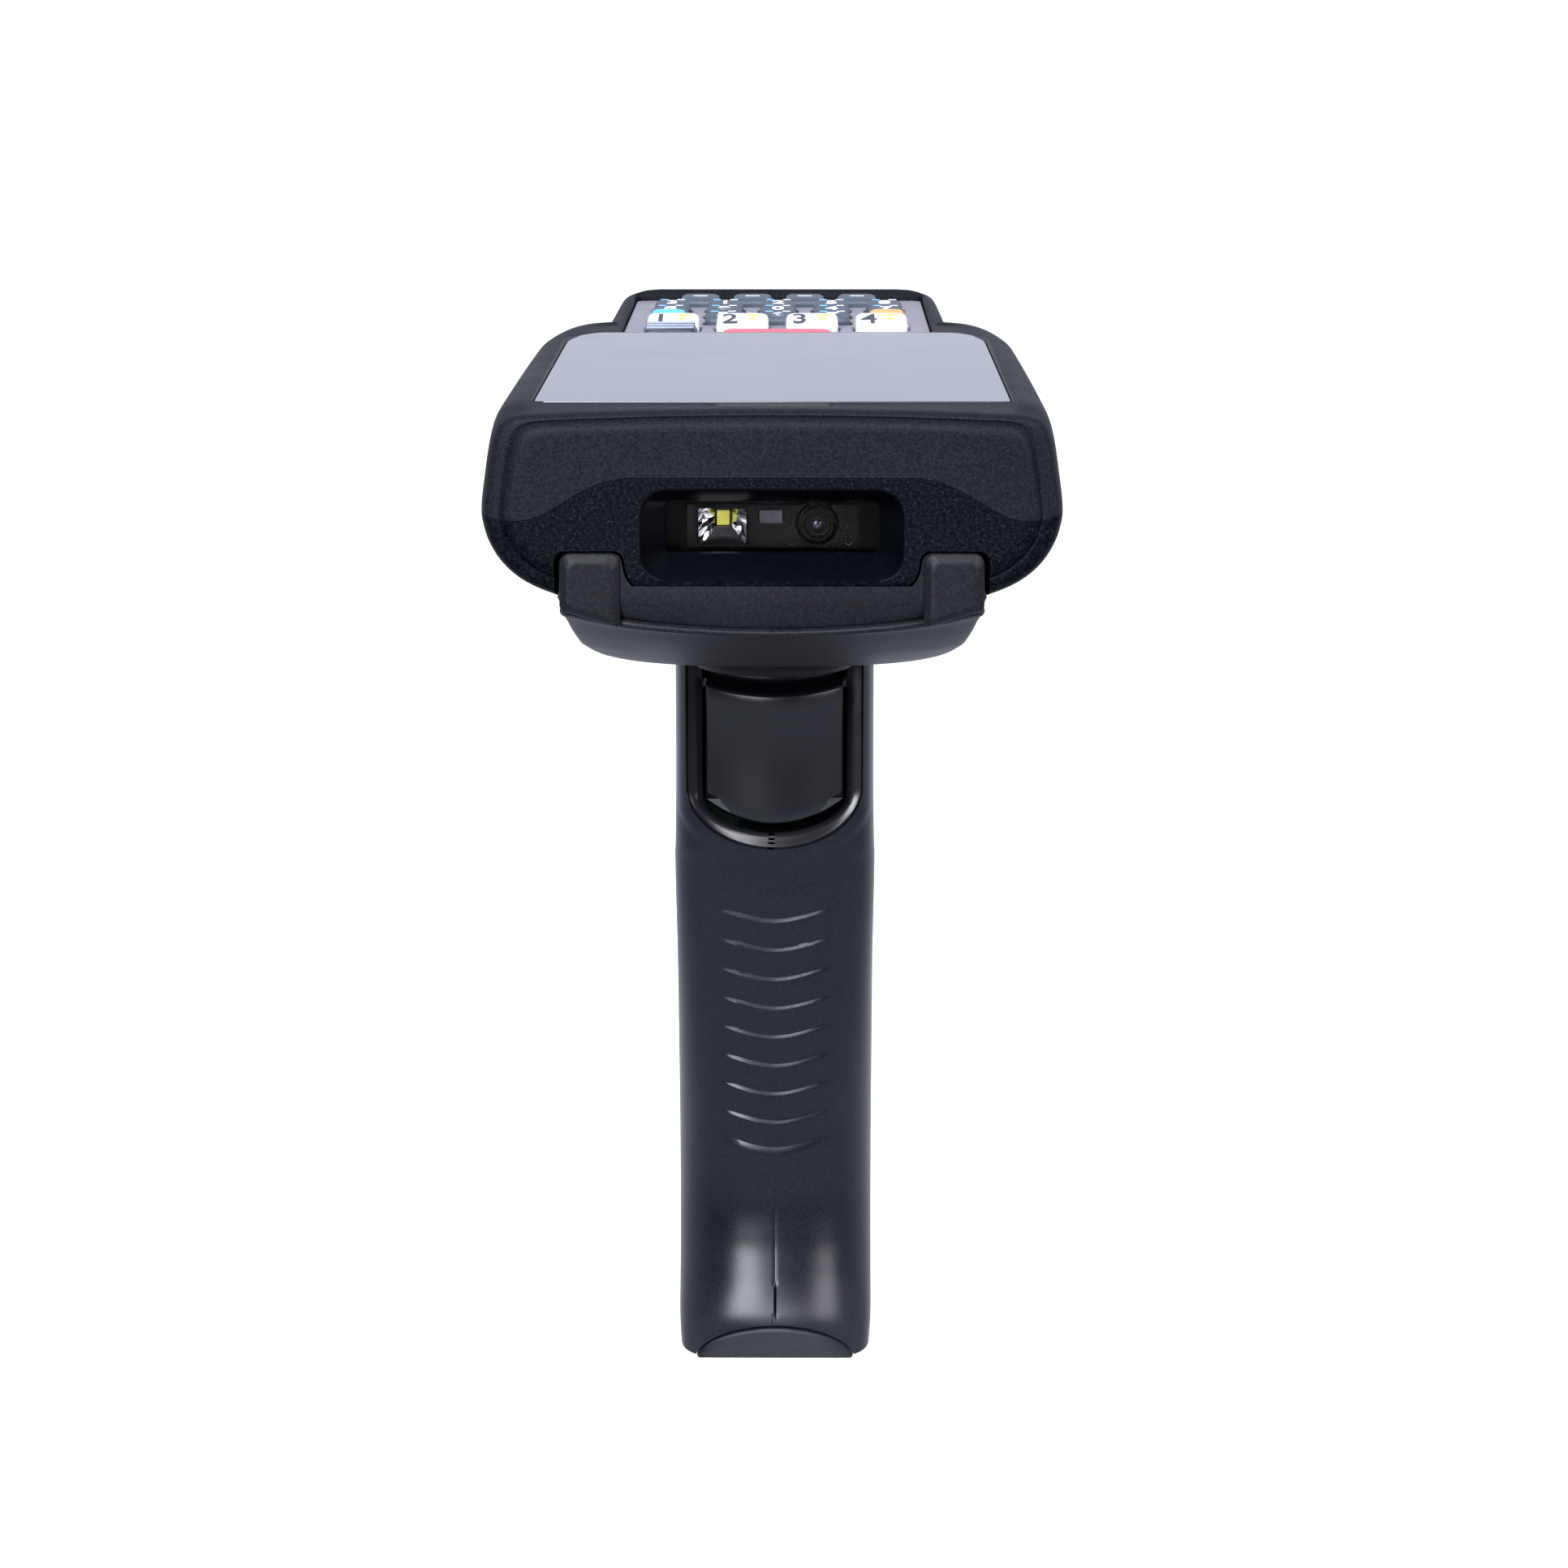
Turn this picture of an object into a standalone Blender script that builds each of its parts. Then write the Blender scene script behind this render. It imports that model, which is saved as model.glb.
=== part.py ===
"""Rugged handheld data terminal with a barcode scan window, a keypad and a clip-on pistol grip.

Frame: origin on the surface the grip's foot stands on, under the middle of the bounding box.
+X is to the right and +Z up as one looks at the scan window, and +Y runs from the scan window
towards the keypad's tail. Everything is in metres.
"""

import math

import bmesh
import bpy
from mathutils import Matrix, Vector

MM = 0.001
GAP = 0.3 * MM  # running and resting clearance between neighbouring pieces

# ---------------------------------------------------------------- driving dimensions
GLASS_Z = 160 * MM  # height of the display's surface over the foot
NOSE_Y = -104.5 * MM  # front of the scan nose
PART_DEPTH = 14.8 * MM  # parting line of the housings, under the display's surface
BODY_DEPTH = 28 * MM  # underside of the terminal, under the display's surface
WALL = 2.2 * MM
NOSE_WALL_Y = -98 * MM  # inside face of the thick wall round the scan window

GLASS_HALF = 34 * MM
GLASS_FRONT, GLASS_REAR = -92.4 * MM, 14.8 * MM
GLASS_THICK = 1.1 * MM
GLASS_CHAMFER = (2.8 * MM, 14 * MM)  # the two corners next to the keypad

PLATE_HALF = 26 * MM
PLATE_FRONT, PLATE_REAR = 16.8 * MM, 95 * MM
PLATE_DEPTH = 1.5 * MM  # keypad plate's face, under the display's surface
KEY_TRAVEL = 0.8 * MM


TOE_Y = -38.7 * MM  # the flat front of the toe
PIVOT = Vector((0, -38 * MM, 110.5 * MM))  # trigger pin's axis, along X

BATTERY_FRONT, BATTERY_REAR = 50 * MM, 97 * MM
BATTERY_HALF = 22 * MM
BATTERY_TOP = 15.8 * MM

# Section of the terminal's right half, top to bottom: (distance in from the widest point, depth).
SECTION = [
    (7.4, 0.1), (5.6, -0.35), (3.7, 0.1), (2.4, 1.1), (1.5, 3.4), (0.6, 9.0), (0, 14.8),
    (0.5, 17.6), (1.5, 20.0), (3.4, 22.6), (6.2, 24.8), (9.8, 26.4), (14.0, 27.6), (18.0, 28.0),
]
# Plan of the terminal: (y, half width). The head narrows to the keypad section at a shoulder.
PLAN = [
    (-104.5, 41.2), (-95, 41.2), (-3, 40.7), (20, 38.8), (26, 37.4), (28.8, 35.8), (30.4, 33.8),
    (31.4, 32.1), (33.5, 31.3), (60, 31.0), (92, 30.5), (97, 29.9), (101, 28.2), (103.6, 25.2),
    (104.9, 22.0), (105.4, 18.5),
]
# Rounding of the two ends: (y, inset at the sides, at the top, at the bottom), front to rear.
ENDS = [
    (-104.5, 5.2, 3.2, 4.4), (-104.3, 4.2, 2.3, 3.4), (-103.7, 3.5, 1.8, 2.8), (-102.7, 3.2, 1.4, 2.4),
    (-103.2, 2.4, 1.1, 1.8), (-102.9, 1.5, 0.95, 1.1), (-101.9, 0.6, 0.8, 0.4), (-99.5, 0.1, 0.6, 0),
    (-95.5, 0, 0.25, 0), (-91, 0, 0, 0), (-3, 0, 0, 0), (20, 0, 0, 0), (26, 0, 0, 0), (28.8, 0, 0, 0),
    (30.4, 0, 0, 0), (31.4, 0, 0, 0), (33.5, 0, 0, 0), (60, 0, 0, 0), (92, 0, 0, 0),
    (97, 0.1, 0.2, 0.2), (101, 0.3, 0.7, 0.8), (103.6, 0.8, 1.8, 2.2), (104.9, 1.5, 3.2, 3.8),
    (105.4, 2.5, 5.0, 6.0),
]
CREASE_Y = -102.7  # the station of the fine crease round the nose's cap, further back than its neighbours
# Parting line across the nose and the tail: (x, depth), a flat hump that drops to the sides.
PARTING = [(0, 9.5), (19.5, 9.5), (22.7, 9.9), (25.6, 10.9), (28.4, 12.4), (31.2, 14.1), (33.6, 15.2), (36, 15.6),
           (38.2, 15.6), (41.2, 14.9), (60, 14.9)]

# Grip: (z, front y, back y, half width).
GRIP = [
    (1.6, -45.8, 13.4, 15.2), (4.0, -42.0, 13.2, 15.5), (6.4, -39.3, 12.9, 15.6), (9.5, -36.9, 12.2, 15.6),
    (13, -35.2, 11.2, 15.6), (18, -33.9, 9.8, 15.6), (24, -33.8, 8.2, 15.6), (30, -34.5, 6.4, 15.6),
    (45, -37.4, 3.0, 15.6), (60, -40.5, 0.8, 15.6), (81, -44.8, -0.8, 15.8), (84, -45.5, -0.9, 15.7),
    (100, -47.0, 0.5, 15.5), (113, -47.5, 3.2, 15.5), (117.7, -47.5, 5.0, 15.5),
]
GRIP_NOSE = 14 * MM  # depth of the half ellipse at the grip's front and back

# Trigger: (z, front y, back y, half width).
TRIGGER = [
    (87.9, -48.6, -43.6, 3.6), (88.9, -49.3, -42.2, 7.0), (90.4, -49.3, -41.0, 9.2), (92.2, -48.6, -40.2, 10.3),
    (94.2, -47.8, -39.4, 10.65), (99, -46.9, -38.2, 10.65), (105, -47.4, -35.6, 10.65), (108.4, -48.4, -34.8, 10.65),
    (111.4, -48.2, -34.8, 10.6), (113.2, -46.4, -35.8, 10.3),
]

# Cradle: (depth, half width, front y, rear y, front corner, rear corner).
CRADLE_UPPER = [
    (19.9, 30.4, -104.3, 40, 7, 6), (26.5, 30.6, -104.3, 40.4, 8, 6), (28.8, 30.4, -103.7, 41, 10, 8),
    (31.0, 29.8, -102.3, 41.6, 16, 9),
]
CRADLE_LOWER = [
    (31.3, 29.5, -101.8, 41.8, 17, 9), (34, 28.7, -96.5, 41, 19, 12), (37, 27.2, -89, 38, 20, 14),
    (39.5, 25, -81, 34, 19, 14), (41.2, 22, -73.5, 29, 17, 13), (42, 18.5, -67, 24, 15, 12),
]

# ---------------------------------------------------------------- materials
MATERIALS = {  # name: (colour, roughness, metallic)
    "housing": ((0.022, 0.023, 0.027), 0.55, 0),
    "grip_plastic": ((0.028, 0.030, 0.036), 0.42, 0),
    "trigger_plastic": ((0.02, 0.021, 0.025), 0.32, 0),
    "keypad_plate": ((0.10, 0.10, 0.115), 0.5, 0),
    "key_grey": ((0.12, 0.135, 0.15), 0.45, 0),
    "key_white": ((0.78, 0.80, 0.84), 0.4, 0),
    "key_blue": ((0.05, 0.42, 0.83), 0.4, 0),
    "key_orange": ((0.90, 0.32, 0.06), 0.4, 0),
    "key_red": ((0.55, 0.03, 0.06), 0.4, 0),
    "display_glass": ((0.50, 0.53, 0.62), 0.12, 0),
    "screen": ((0.05, 0.05, 0.06), 0.3, 0),
    "board": ((0.02, 0.16, 0.08), 0.5, 0),
    "silicone": ((0.07, 0.07, 0.08), 0.7, 0),
    "optics_black": ((0.008, 0.008, 0.009), 0.25, 0),
    "clear_lens": ((0.85, 0.87, 0.9), 0.05, 0),
    "phosphor": ((0.75, 0.72, 0.08), 0.5, 0),
    "metal": ((0.55, 0.55, 0.57), 0.35, 1),
    "battery_case": ((0.03, 0.03, 0.034), 0.55, 0),
    "contact_gold": ((0.8, 0.6, 0.25), 0.3, 1),
    "foot_rubber": ((0.035, 0.036, 0.04), 0.7, 0),
}


def start_scene():
    for obj in list(bpy.data.objects):
        bpy.data.objects.remove(obj, do_unlink=True)
    parts = bpy.data.collections.new("data_terminal")
    cutters = bpy.data.collections.new("cutters")
    for collection in (parts, cutters):
        bpy.context.scene.collection.children.link(collection)
    return parts, cutters


PARTS, CUTTERS = start_scene()


def material(name):
    found = bpy.data.materials.get(name)
    if found:
        return found
    colour, roughness, metallic = MATERIALS[name]
    made = bpy.data.materials.new(name)
    made.use_nodes = True
    shader = made.node_tree.nodes["Principled BSDF"]
    shader.inputs["Base Color"].default_value = (*colour, 1)
    shader.inputs["Roughness"].default_value = roughness
    shader.inputs["Metallic"].default_value = metallic
    return made


# ---------------------------------------------------------------- making objects
def move_to(obj, collection):
    for held in list(obj.users_collection):
        held.objects.unlink(obj)
    collection.objects.link(obj)


def object_of(name, bm, finish=None, smooth_deg=35):
    """An object made from bm. With no finish it is a cutter, which is never a part."""
    bmesh.ops.recalc_face_normals(bm, faces=bm.faces)
    mesh = bpy.data.meshes.new(name)
    bm.to_mesh(mesh)
    bm.free()
    obj = bpy.data.objects.new(name, mesh)
    if finish:
        PARTS.objects.link(obj)
        mesh.materials.append(material(finish))
        mesh.shade_smooth()
        mesh.set_sharp_from_angle(angle=math.radians(smooth_deg))
    else:
        CUTTERS.objects.link(obj)
        obj.hide_render = True
        obj.display_type = "WIRE"
    return obj


def box(name, low, high, finish=None, round_by=0, segments=1):
    """A box between two corners, with rounded edges where round_by is given."""
    low, high = Vector(low), Vector(high)
    bm = bmesh.new()
    bmesh.ops.create_cube(bm, size=1)
    size = high - low
    for vertex in bm.verts:
        vertex.co = (low + high) / 2 + Vector(vertex.co[i] * size[i] for i in range(3))
    if round_by:
        bmesh.ops.bevel(bm, geom=bm.edges[:], offset=round_by, segments=segments, affect="EDGES", profile=0.5)
    return object_of(name, bm, finish)


def cylinder(name, centre, radius, length, axis, finish=None, sides=20, end_radius=None):
    """A cylinder or cone centred on a point, along X, Y or Z."""
    bm = bmesh.new()
    turn = {"X": Matrix.Rotation(math.pi / 2, 4, "Y"), "Y": Matrix.Rotation(-math.pi / 2, 4, "X"), "Z": Matrix()}[axis]
    bmesh.ops.create_cone(
        bm, cap_ends=True, segments=sides, radius1=radius, depth=length,
        radius2=radius if end_radius is None else end_radius, matrix=Matrix.Translation(centre) @ turn,
    )
    return object_of(name, bm, finish)


def loft(name, rings, finish=None, smooth_deg=35):
    """A closed skin through rings that have the same number of points."""
    bm = bmesh.new()
    rows = [[bm.verts.new(point) for point in ring] for ring in rings]
    count = len(rows[0])
    for lower, upper in zip(rows, rows[1:]):
        for i in range(count):
            j = (i + 1) % count
            bm.faces.new((lower[i], lower[j], upper[j], upper[i]))
    bm.faces.new(rows[0])
    bm.faces.new(rows[-1])
    return object_of(name, bm, finish, smooth_deg)


def prism(name, outline, axis, start, end, finish=None):
    """An outline of (a, b) points extruded along X (a, b are y, z), Y (x, z) or Z (x, y)."""
    place = {"X": lambda a, b, c: (c, a, b), "Y": lambda a, b, c: (a, c, b), "Z": lambda a, b, c: (a, b, c)}[axis]
    return loft(name, [[place(a, b, c) for a, b in outline] for c in (start, end)], finish)


def boolean(obj, operation, other):
    step = obj.modifiers.new(f"{operation.lower()}_{other.name}", "BOOLEAN")
    step.operation = operation
    step.solver = "EXACT"
    step.object = other
    return obj


def cut(obj, *others):
    for other in others:
        boolean(obj, "DIFFERENCE", other)
    return obj


def join(obj, *others):
    for other in others:
        boolean(obj, "UNION", other)
    return obj


def keep_inside(obj, other):
    return boolean(obj, "INTERSECT", other)


def mirrored(outline):
    """A right-hand outline, top to bottom, followed by its mirror image, bottom to top."""
    return outline + [(-a, b) for a, b in reversed(outline)]


def at(table, value, column=1):
    """Linear interpolation in a table whose first column rises."""
    for low, high in zip(table, table[1:]):
        if value <= high[0]:
            share = 0 if high[0] == low[0] else (value - low[0]) / (high[0] - low[0])
            return low[column] + max(0, share) * (high[column] - low[column])
    return table[-1][column]


# ---------------------------------------------------------------- terminal
def terminal_ring(y, side, top, bottom, grow=0):
    """The terminal's section at y (mm), pulled in by side, top and bottom (mm), or grown all round."""
    half = at(PLAN, y)
    narrow = (half - side + grow) / half
    split, whole = PART_DEPTH / MM, BODY_DEPTH / MM
    points = []
    for inset, depth in SECTION:
        if depth < split:
            depth = split - (split - depth) * (split - top + grow) / split
        else:
            depth = split + (depth - split) * (whole - split - bottom + grow) / (whole - split)
        points.append(((half - inset) * narrow * MM, GLASS_Z - depth * MM))
    return [(x, y * MM, z) for x, z in mirrored(points)]


def terminal_blank(name, grow=0):
    """The terminal's outside. When grown, for the clearance round it, the nose's crease is filled."""
    rows = [row for row in ENDS if not (grow and row[0] == CREASE_Y)]
    rings = [terminal_ring(y, side, top, bottom, grow) for y, side, top, bottom in rows]
    if grow:
        rings[0] = [(x, y - grow * MM, z) for x, y, z in rings[0]]
        rings[-1] = [(x, y + grow * MM, z) for x, y, z in rings[-1]]
    return loft(name, rings)


def terminal_cavity(name, wall, front=-98, rear=102.3):
    """The space inside the housings, a wall's thickness in, from front to rear (mm)."""
    thick = wall / MM
    stations = [front, -3, 18, 23.5, 26.5, 28.5, 29.5, 31.5, 60, 92, 97, 100, rear]
    shift = {23.5: 26, 26.5: 28.8, 28.5: 30.4, 29.5: 31.4, 31.5: 33.5}
    rings = []
    for y in stations:
        ring = terminal_ring(shift.get(y, y), thick, thick, thick)
        rings.append([(x, y * MM, z) for x, _, z in ring])
    return loft(name, rings)


def parting_prism(name, above, offset):
    """Everything above, or below, the parting line, offset upwards (mm)."""
    line = [(x * MM, GLASS_Z - depth * MM + offset * MM) for x, depth in PARTING]
    line = [(-x, z) for x, z in reversed(line[1:])] + line
    far = GLASS_Z + (30 * MM if above else -60 * MM)
    outline = line + [(line[-1][0], far), (line[0][0], far)]
    return prism(name, outline, "Y", -120 * MM, 120 * MM)


def glass_outline(grow=0):
    half, front, rear = GLASS_HALF + grow, GLASS_FRONT - grow, GLASS_REAR + grow
    in_x, in_y = GLASS_CHAMFER
    corner = 1.2 * MM
    right = [(half - corner, front), (half, front + corner), (half, rear - in_y), (half - in_x * 0.6, rear - in_y * 0.3),
             (half - in_x * 1.6, rear)]
    return mirrored(right)


NOTCH = [  # right-hand notch in the nose for the cradle's hook: (x, depth)
    (16.2, 34), (16.2, 25.9), (18.4, 25.3), (19.9, 24.0), (20.7, 22.3), (20.8, 20.9), (21.9, 19.8), (29.6, 19.8),
    (30.7, 20.9), (30.7, 34),
]


def notch_outline(side, shrink=0):
    middle = 25.75
    points = []
    for x, depth in NOTCH:
        x += shrink if x < middle else -shrink
        depth = depth + shrink if depth < 30 else depth
        points.append((side * x * MM, GLASS_Z - depth * MM))
    return points


def rounded_rect(half_x, half_z, radius, centre_z, y, corner_steps=4):
    """A ring in the XZ plane."""
    ring = []
    for quarter, (sx, sz) in enumerate(((1, 1), (-1, 1), (-1, -1), (1, -1))):
        for step in range(corner_steps + 1):
            turn = math.pi / 2 * (quarter + step / corner_steps)
            x = sx * (half_x - radius) + radius * math.cos(turn)
            z = sz * (half_z - radius) + radius * math.sin(turn)
            ring.append((x, y, centre_z + z))
    return ring


SCAN_Z = GLASS_Z - 17.0 * MM  # middle of the scan window's inner opening


def scan_mouth():
    """The tapered mouth in front of the scan window, right through the nose wall."""
    outer_z = GLASS_Z - 17.65 * MM
    rings = [
        rounded_rect(19.4 * MM, 6.9 * MM, 3.6 * MM, outer_z, NOSE_Y - 1.0 * MM),
        rounded_rect(18.6 * MM, 6.2 * MM, 3.3 * MM, outer_z, NOSE_Y + 0.1 * MM),
        rounded_rect(15.2 * MM, 3.7 * MM, 0.9 * MM, SCAN_Z, NOSE_Y + 4.4 * MM),
        rounded_rect(15.2 * MM, 3.7 * MM, 0.9 * MM, SCAN_Z, NOSE_WALL_Y + 2 * MM),
    ]
    return loft("scan_mouth", rings)


SIDE_KEY_Y, SIDE_KEY_Z = (-46 * MM, -24 * MM), (GLASS_Z - 12.4 * MM, GLASS_Z - 7.0 * MM)
EARPIECE_HALF, EARPIECE_Y = 8.5 * MM, (-95.2 * MM, -93.5 * MM)
DOCK_HALF, DOCK_Z = 10 * MM, (GLASS_Z - 23.5 * MM, GLASS_Z - 17.5 * MM)
LATCH_POCKET_Y = (30 * MM, 37.5 * MM)
BATTERY_LATCH_Y = (43.2 * MM, 49.7 * MM)


def grown_box(name, low, high, grow):
    low, high = Vector(low), Vector(high)
    step = Vector((grow,) * 3)
    return box(name, low - step, high + step)


def make_housings(outer):
    cavity = terminal_cavity("cavity", WALL)
    glass_pocket = prism("glass_pocket", glass_outline(GAP), "Z", GLASS_Z - GLASS_THICK - GAP, GLASS_Z + 5 * MM)
    screen_hole = box("screen_hole", (-31 * MM, -90.5 * MM, GLASS_Z - 6 * MM), (31 * MM, 12.4 * MM, GLASS_Z + 1 * MM))
    keypad_hole = box(
        "keypad_hole", (-PLATE_HALF - GAP, PLATE_FRONT - GAP, GLASS_Z - 6 * MM),
        (PLATE_HALF + GAP, PLATE_REAR + GAP, GLASS_Z + 5 * MM),
    )
    earpiece = box(
        "earpiece_slot", (-EARPIECE_HALF, EARPIECE_Y[0], GLASS_Z - 1.9 * MM), (EARPIECE_HALF, EARPIECE_Y[1], GLASS_Z + 3 * MM)
    )
    side_slots = [
        grown_box(
            f"side_key_slot_{side}", (min(side * 36, side * 44) * MM, SIDE_KEY_Y[0], SIDE_KEY_Z[0]),
            (max(side * 36, side * 44) * MM, SIDE_KEY_Y[1], SIDE_KEY_Z[1]), GAP,
        )
        for side in (-1, 1)
    ]
    top = outer.copy()
    top.data = outer.data.copy()
    finish_copy(top, "top_housing", "housing")
    cut(top, cavity, parting_prism("under_parting", False, 0.1), glass_pocket, screen_hole, keypad_hole, earpiece, *side_slots)

    bottom = outer.copy()
    bottom.data = outer.data.copy()
    finish_copy(bottom, "bottom_housing", "housing")
    cut(bottom, cavity, parting_prism("over_parting", True, -0.1))
    boss = box(
        "latch_boss", (-11 * MM, 24 * MM, GLASS_Z - 27 * MM), (11 * MM, 41 * MM, GLASS_Z - 22 * MM),
    )
    join(bottom, boss)
    low_z, high_z = GLASS_Z - 30 * MM, GLASS_Z - 24.2 * MM
    pocket = box("latch_pocket", (-7 * MM, LATCH_POCKET_Y[0], low_z), (7 * MM, LATCH_POCKET_Y[1], high_z))
    undercut = box("latch_undercut", (-7 * MM, LATCH_POCKET_Y[0] - 2.6 * MM, GLASS_Z - 26.2 * MM),
                   (7 * MM, LATCH_POCKET_Y[0] + 1 * MM, high_z))
    battery_bay = box(
        "battery_bay", (-BATTERY_HALF - GAP, BATTERY_FRONT - GAP, GLASS_Z - 40 * MM),
        (BATTERY_HALF + GAP, BATTERY_REAR + GAP, GLASS_Z - PART_DEPTH),
    )
    latch_slot = box("battery_latch_slot", (-8.3 * MM, 43 * MM, GLASS_Z - 40 * MM), (8.3 * MM, BATTERY_FRONT, GLASS_Z - 24 * MM))
    dock = grown_box("dock_slot", (-DOCK_HALF, 96 * MM, DOCK_Z[0]), (DOCK_HALF, 108 * MM, DOCK_Z[1]), GAP)
    notches = [
        prism(f"hook_notch_{side}", notch_outline(side), "Y", NOSE_Y - 3 * MM, NOSE_Y + 4 * MM) for side in (-1, 1)
    ]
    cut(bottom, scan_mouth(), pocket, undercut, battery_bay, latch_slot, dock, *notches)
    return top, bottom, cavity


def finish_copy(obj, name, finish):
    """Turns a copy of a cutter into a part."""
    obj.name = name
    obj.data.name = name
    obj.hide_render = False
    obj.display_type = "TEXTURED"
    PARTS.objects.link(obj)
    obj.data.materials.clear()
    obj.data.materials.append(material(finish))
    obj.data.shade_smooth()
    obj.data.set_sharp_from_angle(angle=math.radians(35))


def make_seal():
    """The sealing cord that runs round the inside of the parting line."""
    seal = terminal_cavity("housing_seal", WALL + GAP, -97.7, 102.0)
    CUTTERS.objects.unlink(seal)
    seal.hide_render = False
    finish_copy(seal, "housing_seal", "silicone")
    cut(seal, terminal_cavity("inside_seal", WALL + 1.5 * MM, -96.5, 100.8))
    cut(seal, parting_prism("over_seal", True, 0.6), parting_prism("under_seal", False, -0.6))
    return seal


def make_front_of_terminal():
    prism("display_window", glass_outline(), "Z", GLASS_Z - GLASS_THICK, GLASS_Z, "display_glass")
    box("lcd_panel", (-30.5 * MM, -90 * MM, GLASS_Z - 3.8 * MM), (30.5 * MM, 12 * MM, GLASS_Z - 1.5 * MM), "screen", 0.4 * MM)
    box("earpiece_grille", (-EARPIECE_HALF + GAP, EARPIECE_Y[0] + GAP, GLASS_Z - 1.6 * MM),
        (EARPIECE_HALF - GAP, EARPIECE_Y[1] - GAP, GLASS_Z - 0.9 * MM), "metal")
    board = box("main_board", (-24.5 * MM, -80 * MM, GLASS_Z - 12.7 * MM), (24.5 * MM, 94 * MM, GLASS_Z - 11.5 * MM), "board")
    return board


# ---------------------------------------------------------------- scan engine
def make_scanner():
    rings = [rounded_rect(16.2 * MM, 4.8 * MM, 1.2 * MM, SCAN_Z, y) for y in (-97.7 * MM, -96.9 * MM)]
    loft("scan_window", rings, "clear_lens")
    engine_z = GLASS_Z - 17.6 * MM
    box("scan_engine", (-12.4 * MM, -94.5 * MM, engine_z - 3.4 * MM), (12.6 * MM, -82 * MM, engine_z + 3.3 * MM), "optics_black", 0.4 * MM)
    box("illumination_led", (-8.4 * MM, -95.2 * MM, engine_z - 0.1 * MM), (-5.8 * MM, -94.8 * MM, engine_z + 2.5 * MM), "phosphor")
    box("illumination_lens", (-10.6 * MM, -96.6 * MM, engine_z - 2.6 * MM), (-3.6 * MM, -95.5 * MM, engine_z + 2.9 * MM), "clear_lens", 0.4 * MM)
    box("aimer_lens", (-1.9 * MM, -95.6 * MM, engine_z + 0.5 * MM), (1.5 * MM, -94.8 * MM, engine_z + 2.4 * MM), "clear_lens", 0.2 * MM)
    cylinder("imager_lens", Vector((6.4 * MM, -95.6 * MM, engine_z + 0.4 * MM)), 2.45 * MM, 1.6 * MM, "Y", "optics_black", 24)


# ---------------------------------------------------------------- keypad
def key_layout():
    """Every key: (node name, centre x, centre y, width, depth, top over the plate, finish), in mm."""
    keys = [
        ("power_key", -17.9, 23.2, 9.1, 7.6, 2.4, "key_grey"),
        ("scan_key", 0.0, 23.2, 18.6, 8.0, 1.2, "key_red"),
    ]
    for column in range(4):
        keys.append((f"number_key_{column + 1}", 11.9 * (column - 1.5), 37.0, 8.95, 8.6, 2.6, "key_white"))
    row_two = ("blue_function_key", "upper_key_1", "upper_key_2", "upper_key_3", "orange_function_key")
    finishes = ("key_blue", "key_grey", "key_grey", "key_grey", "key_orange")
    for column, (name, finish) in enumerate(zip(row_two, finishes)):
        keys.append((name, 9.5 * (column - 2), 48.4, 6.2, 7.0, 2.4 if "function" in name else 1.9, finish))
    for row, y in (("middle", 60.4), ("lower", 72.6)):
        for column in range(5):
            keys.append((f"{row}_key_{column + 1}", 9.5 * (column - 2), y, 6.4, 8.0, 1.9, "key_grey"))
    for column in range(4):
        keys.append((f"end_key_{column + 1}", 9.5 * (column - 1.5), 85.4, 7.2, 8.6, 1.9, "key_grey"))
    return keys


def make_keypad():
    plate_z = GLASS_Z - PLATE_DEPTH
    plate = box("keypad_plate", (-PLATE_HALF, PLATE_FRONT, plate_z - 2 * MM), (PLATE_HALF, PLATE_REAR, plate_z), "keypad_plate")
    shelf = box("plate_shelf", (-23 * MM, PLATE_FRONT - 1.6 * MM, plate_z - 1.9 * MM),
                (23 * MM, PLATE_REAR + 1.4 * MM, plate_z - 1.05 * MM))
    join(plate, shelf)
    flange_top = plate_z - 2 * MM - GAP
    flange_bottom = flange_top - 0.6 * MM
    for name, x, y, width, depth, height, finish in key_layout():
        low, high = ((x - width / 2) * MM, (y - depth / 2) * MM), ((x + width / 2) * MM, (y + depth / 2) * MM)
        cut(plate, box(f"{name}_hole", (low[0] - GAP, low[1] - GAP, plate_z - 4 * MM), (high[0] + GAP, high[1] + GAP, plate_z + 3 * MM)))
        make_key(name, low, high, plate_z + height * MM, flange_top, flange_bottom, finish)
    mat_top = flange_bottom - KEY_TRAVEL - GAP
    outline = ((-PLATE_HALF + 0.6 * MM, PLATE_FRONT - 0.6 * MM), (PLATE_HALF - 0.6 * MM, PLATE_REAR + 1 * MM))
    box("keypad_mat", (*outline[0], mat_top - 0.9 * MM), (*outline[1], mat_top), "silicone")
    board_top = mat_top - 0.9 * MM - GAP
    box("keypad_board", (*outline[0], board_top - 1.2 * MM), (*outline[1], board_top), "board")


def make_key(name, low, high, top, flange_top, flange_bottom, finish):
    """A keycap whose crown is smaller than its foot, on a flange that stops under the plate."""
    def ring(grow, z):
        return [
            (low[0] - grow, low[1] - grow, z), (high[0] + grow, low[1] - grow, z),
            (high[0] + grow, high[1] + grow, z), (low[0] - grow, high[1] + grow, z),
        ]
    lip = 0.6 * MM
    rings = [
        ring(lip, flange_bottom), ring(lip, flange_top), ring(0, flange_top + 0.05 * MM),
        ring(0, top - 0.9 * MM), ring(-0.35 * MM, top - 0.25 * MM), ring(-1.2 * MM, top),
    ]
    return loft(name, rings, finish, 30)


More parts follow.
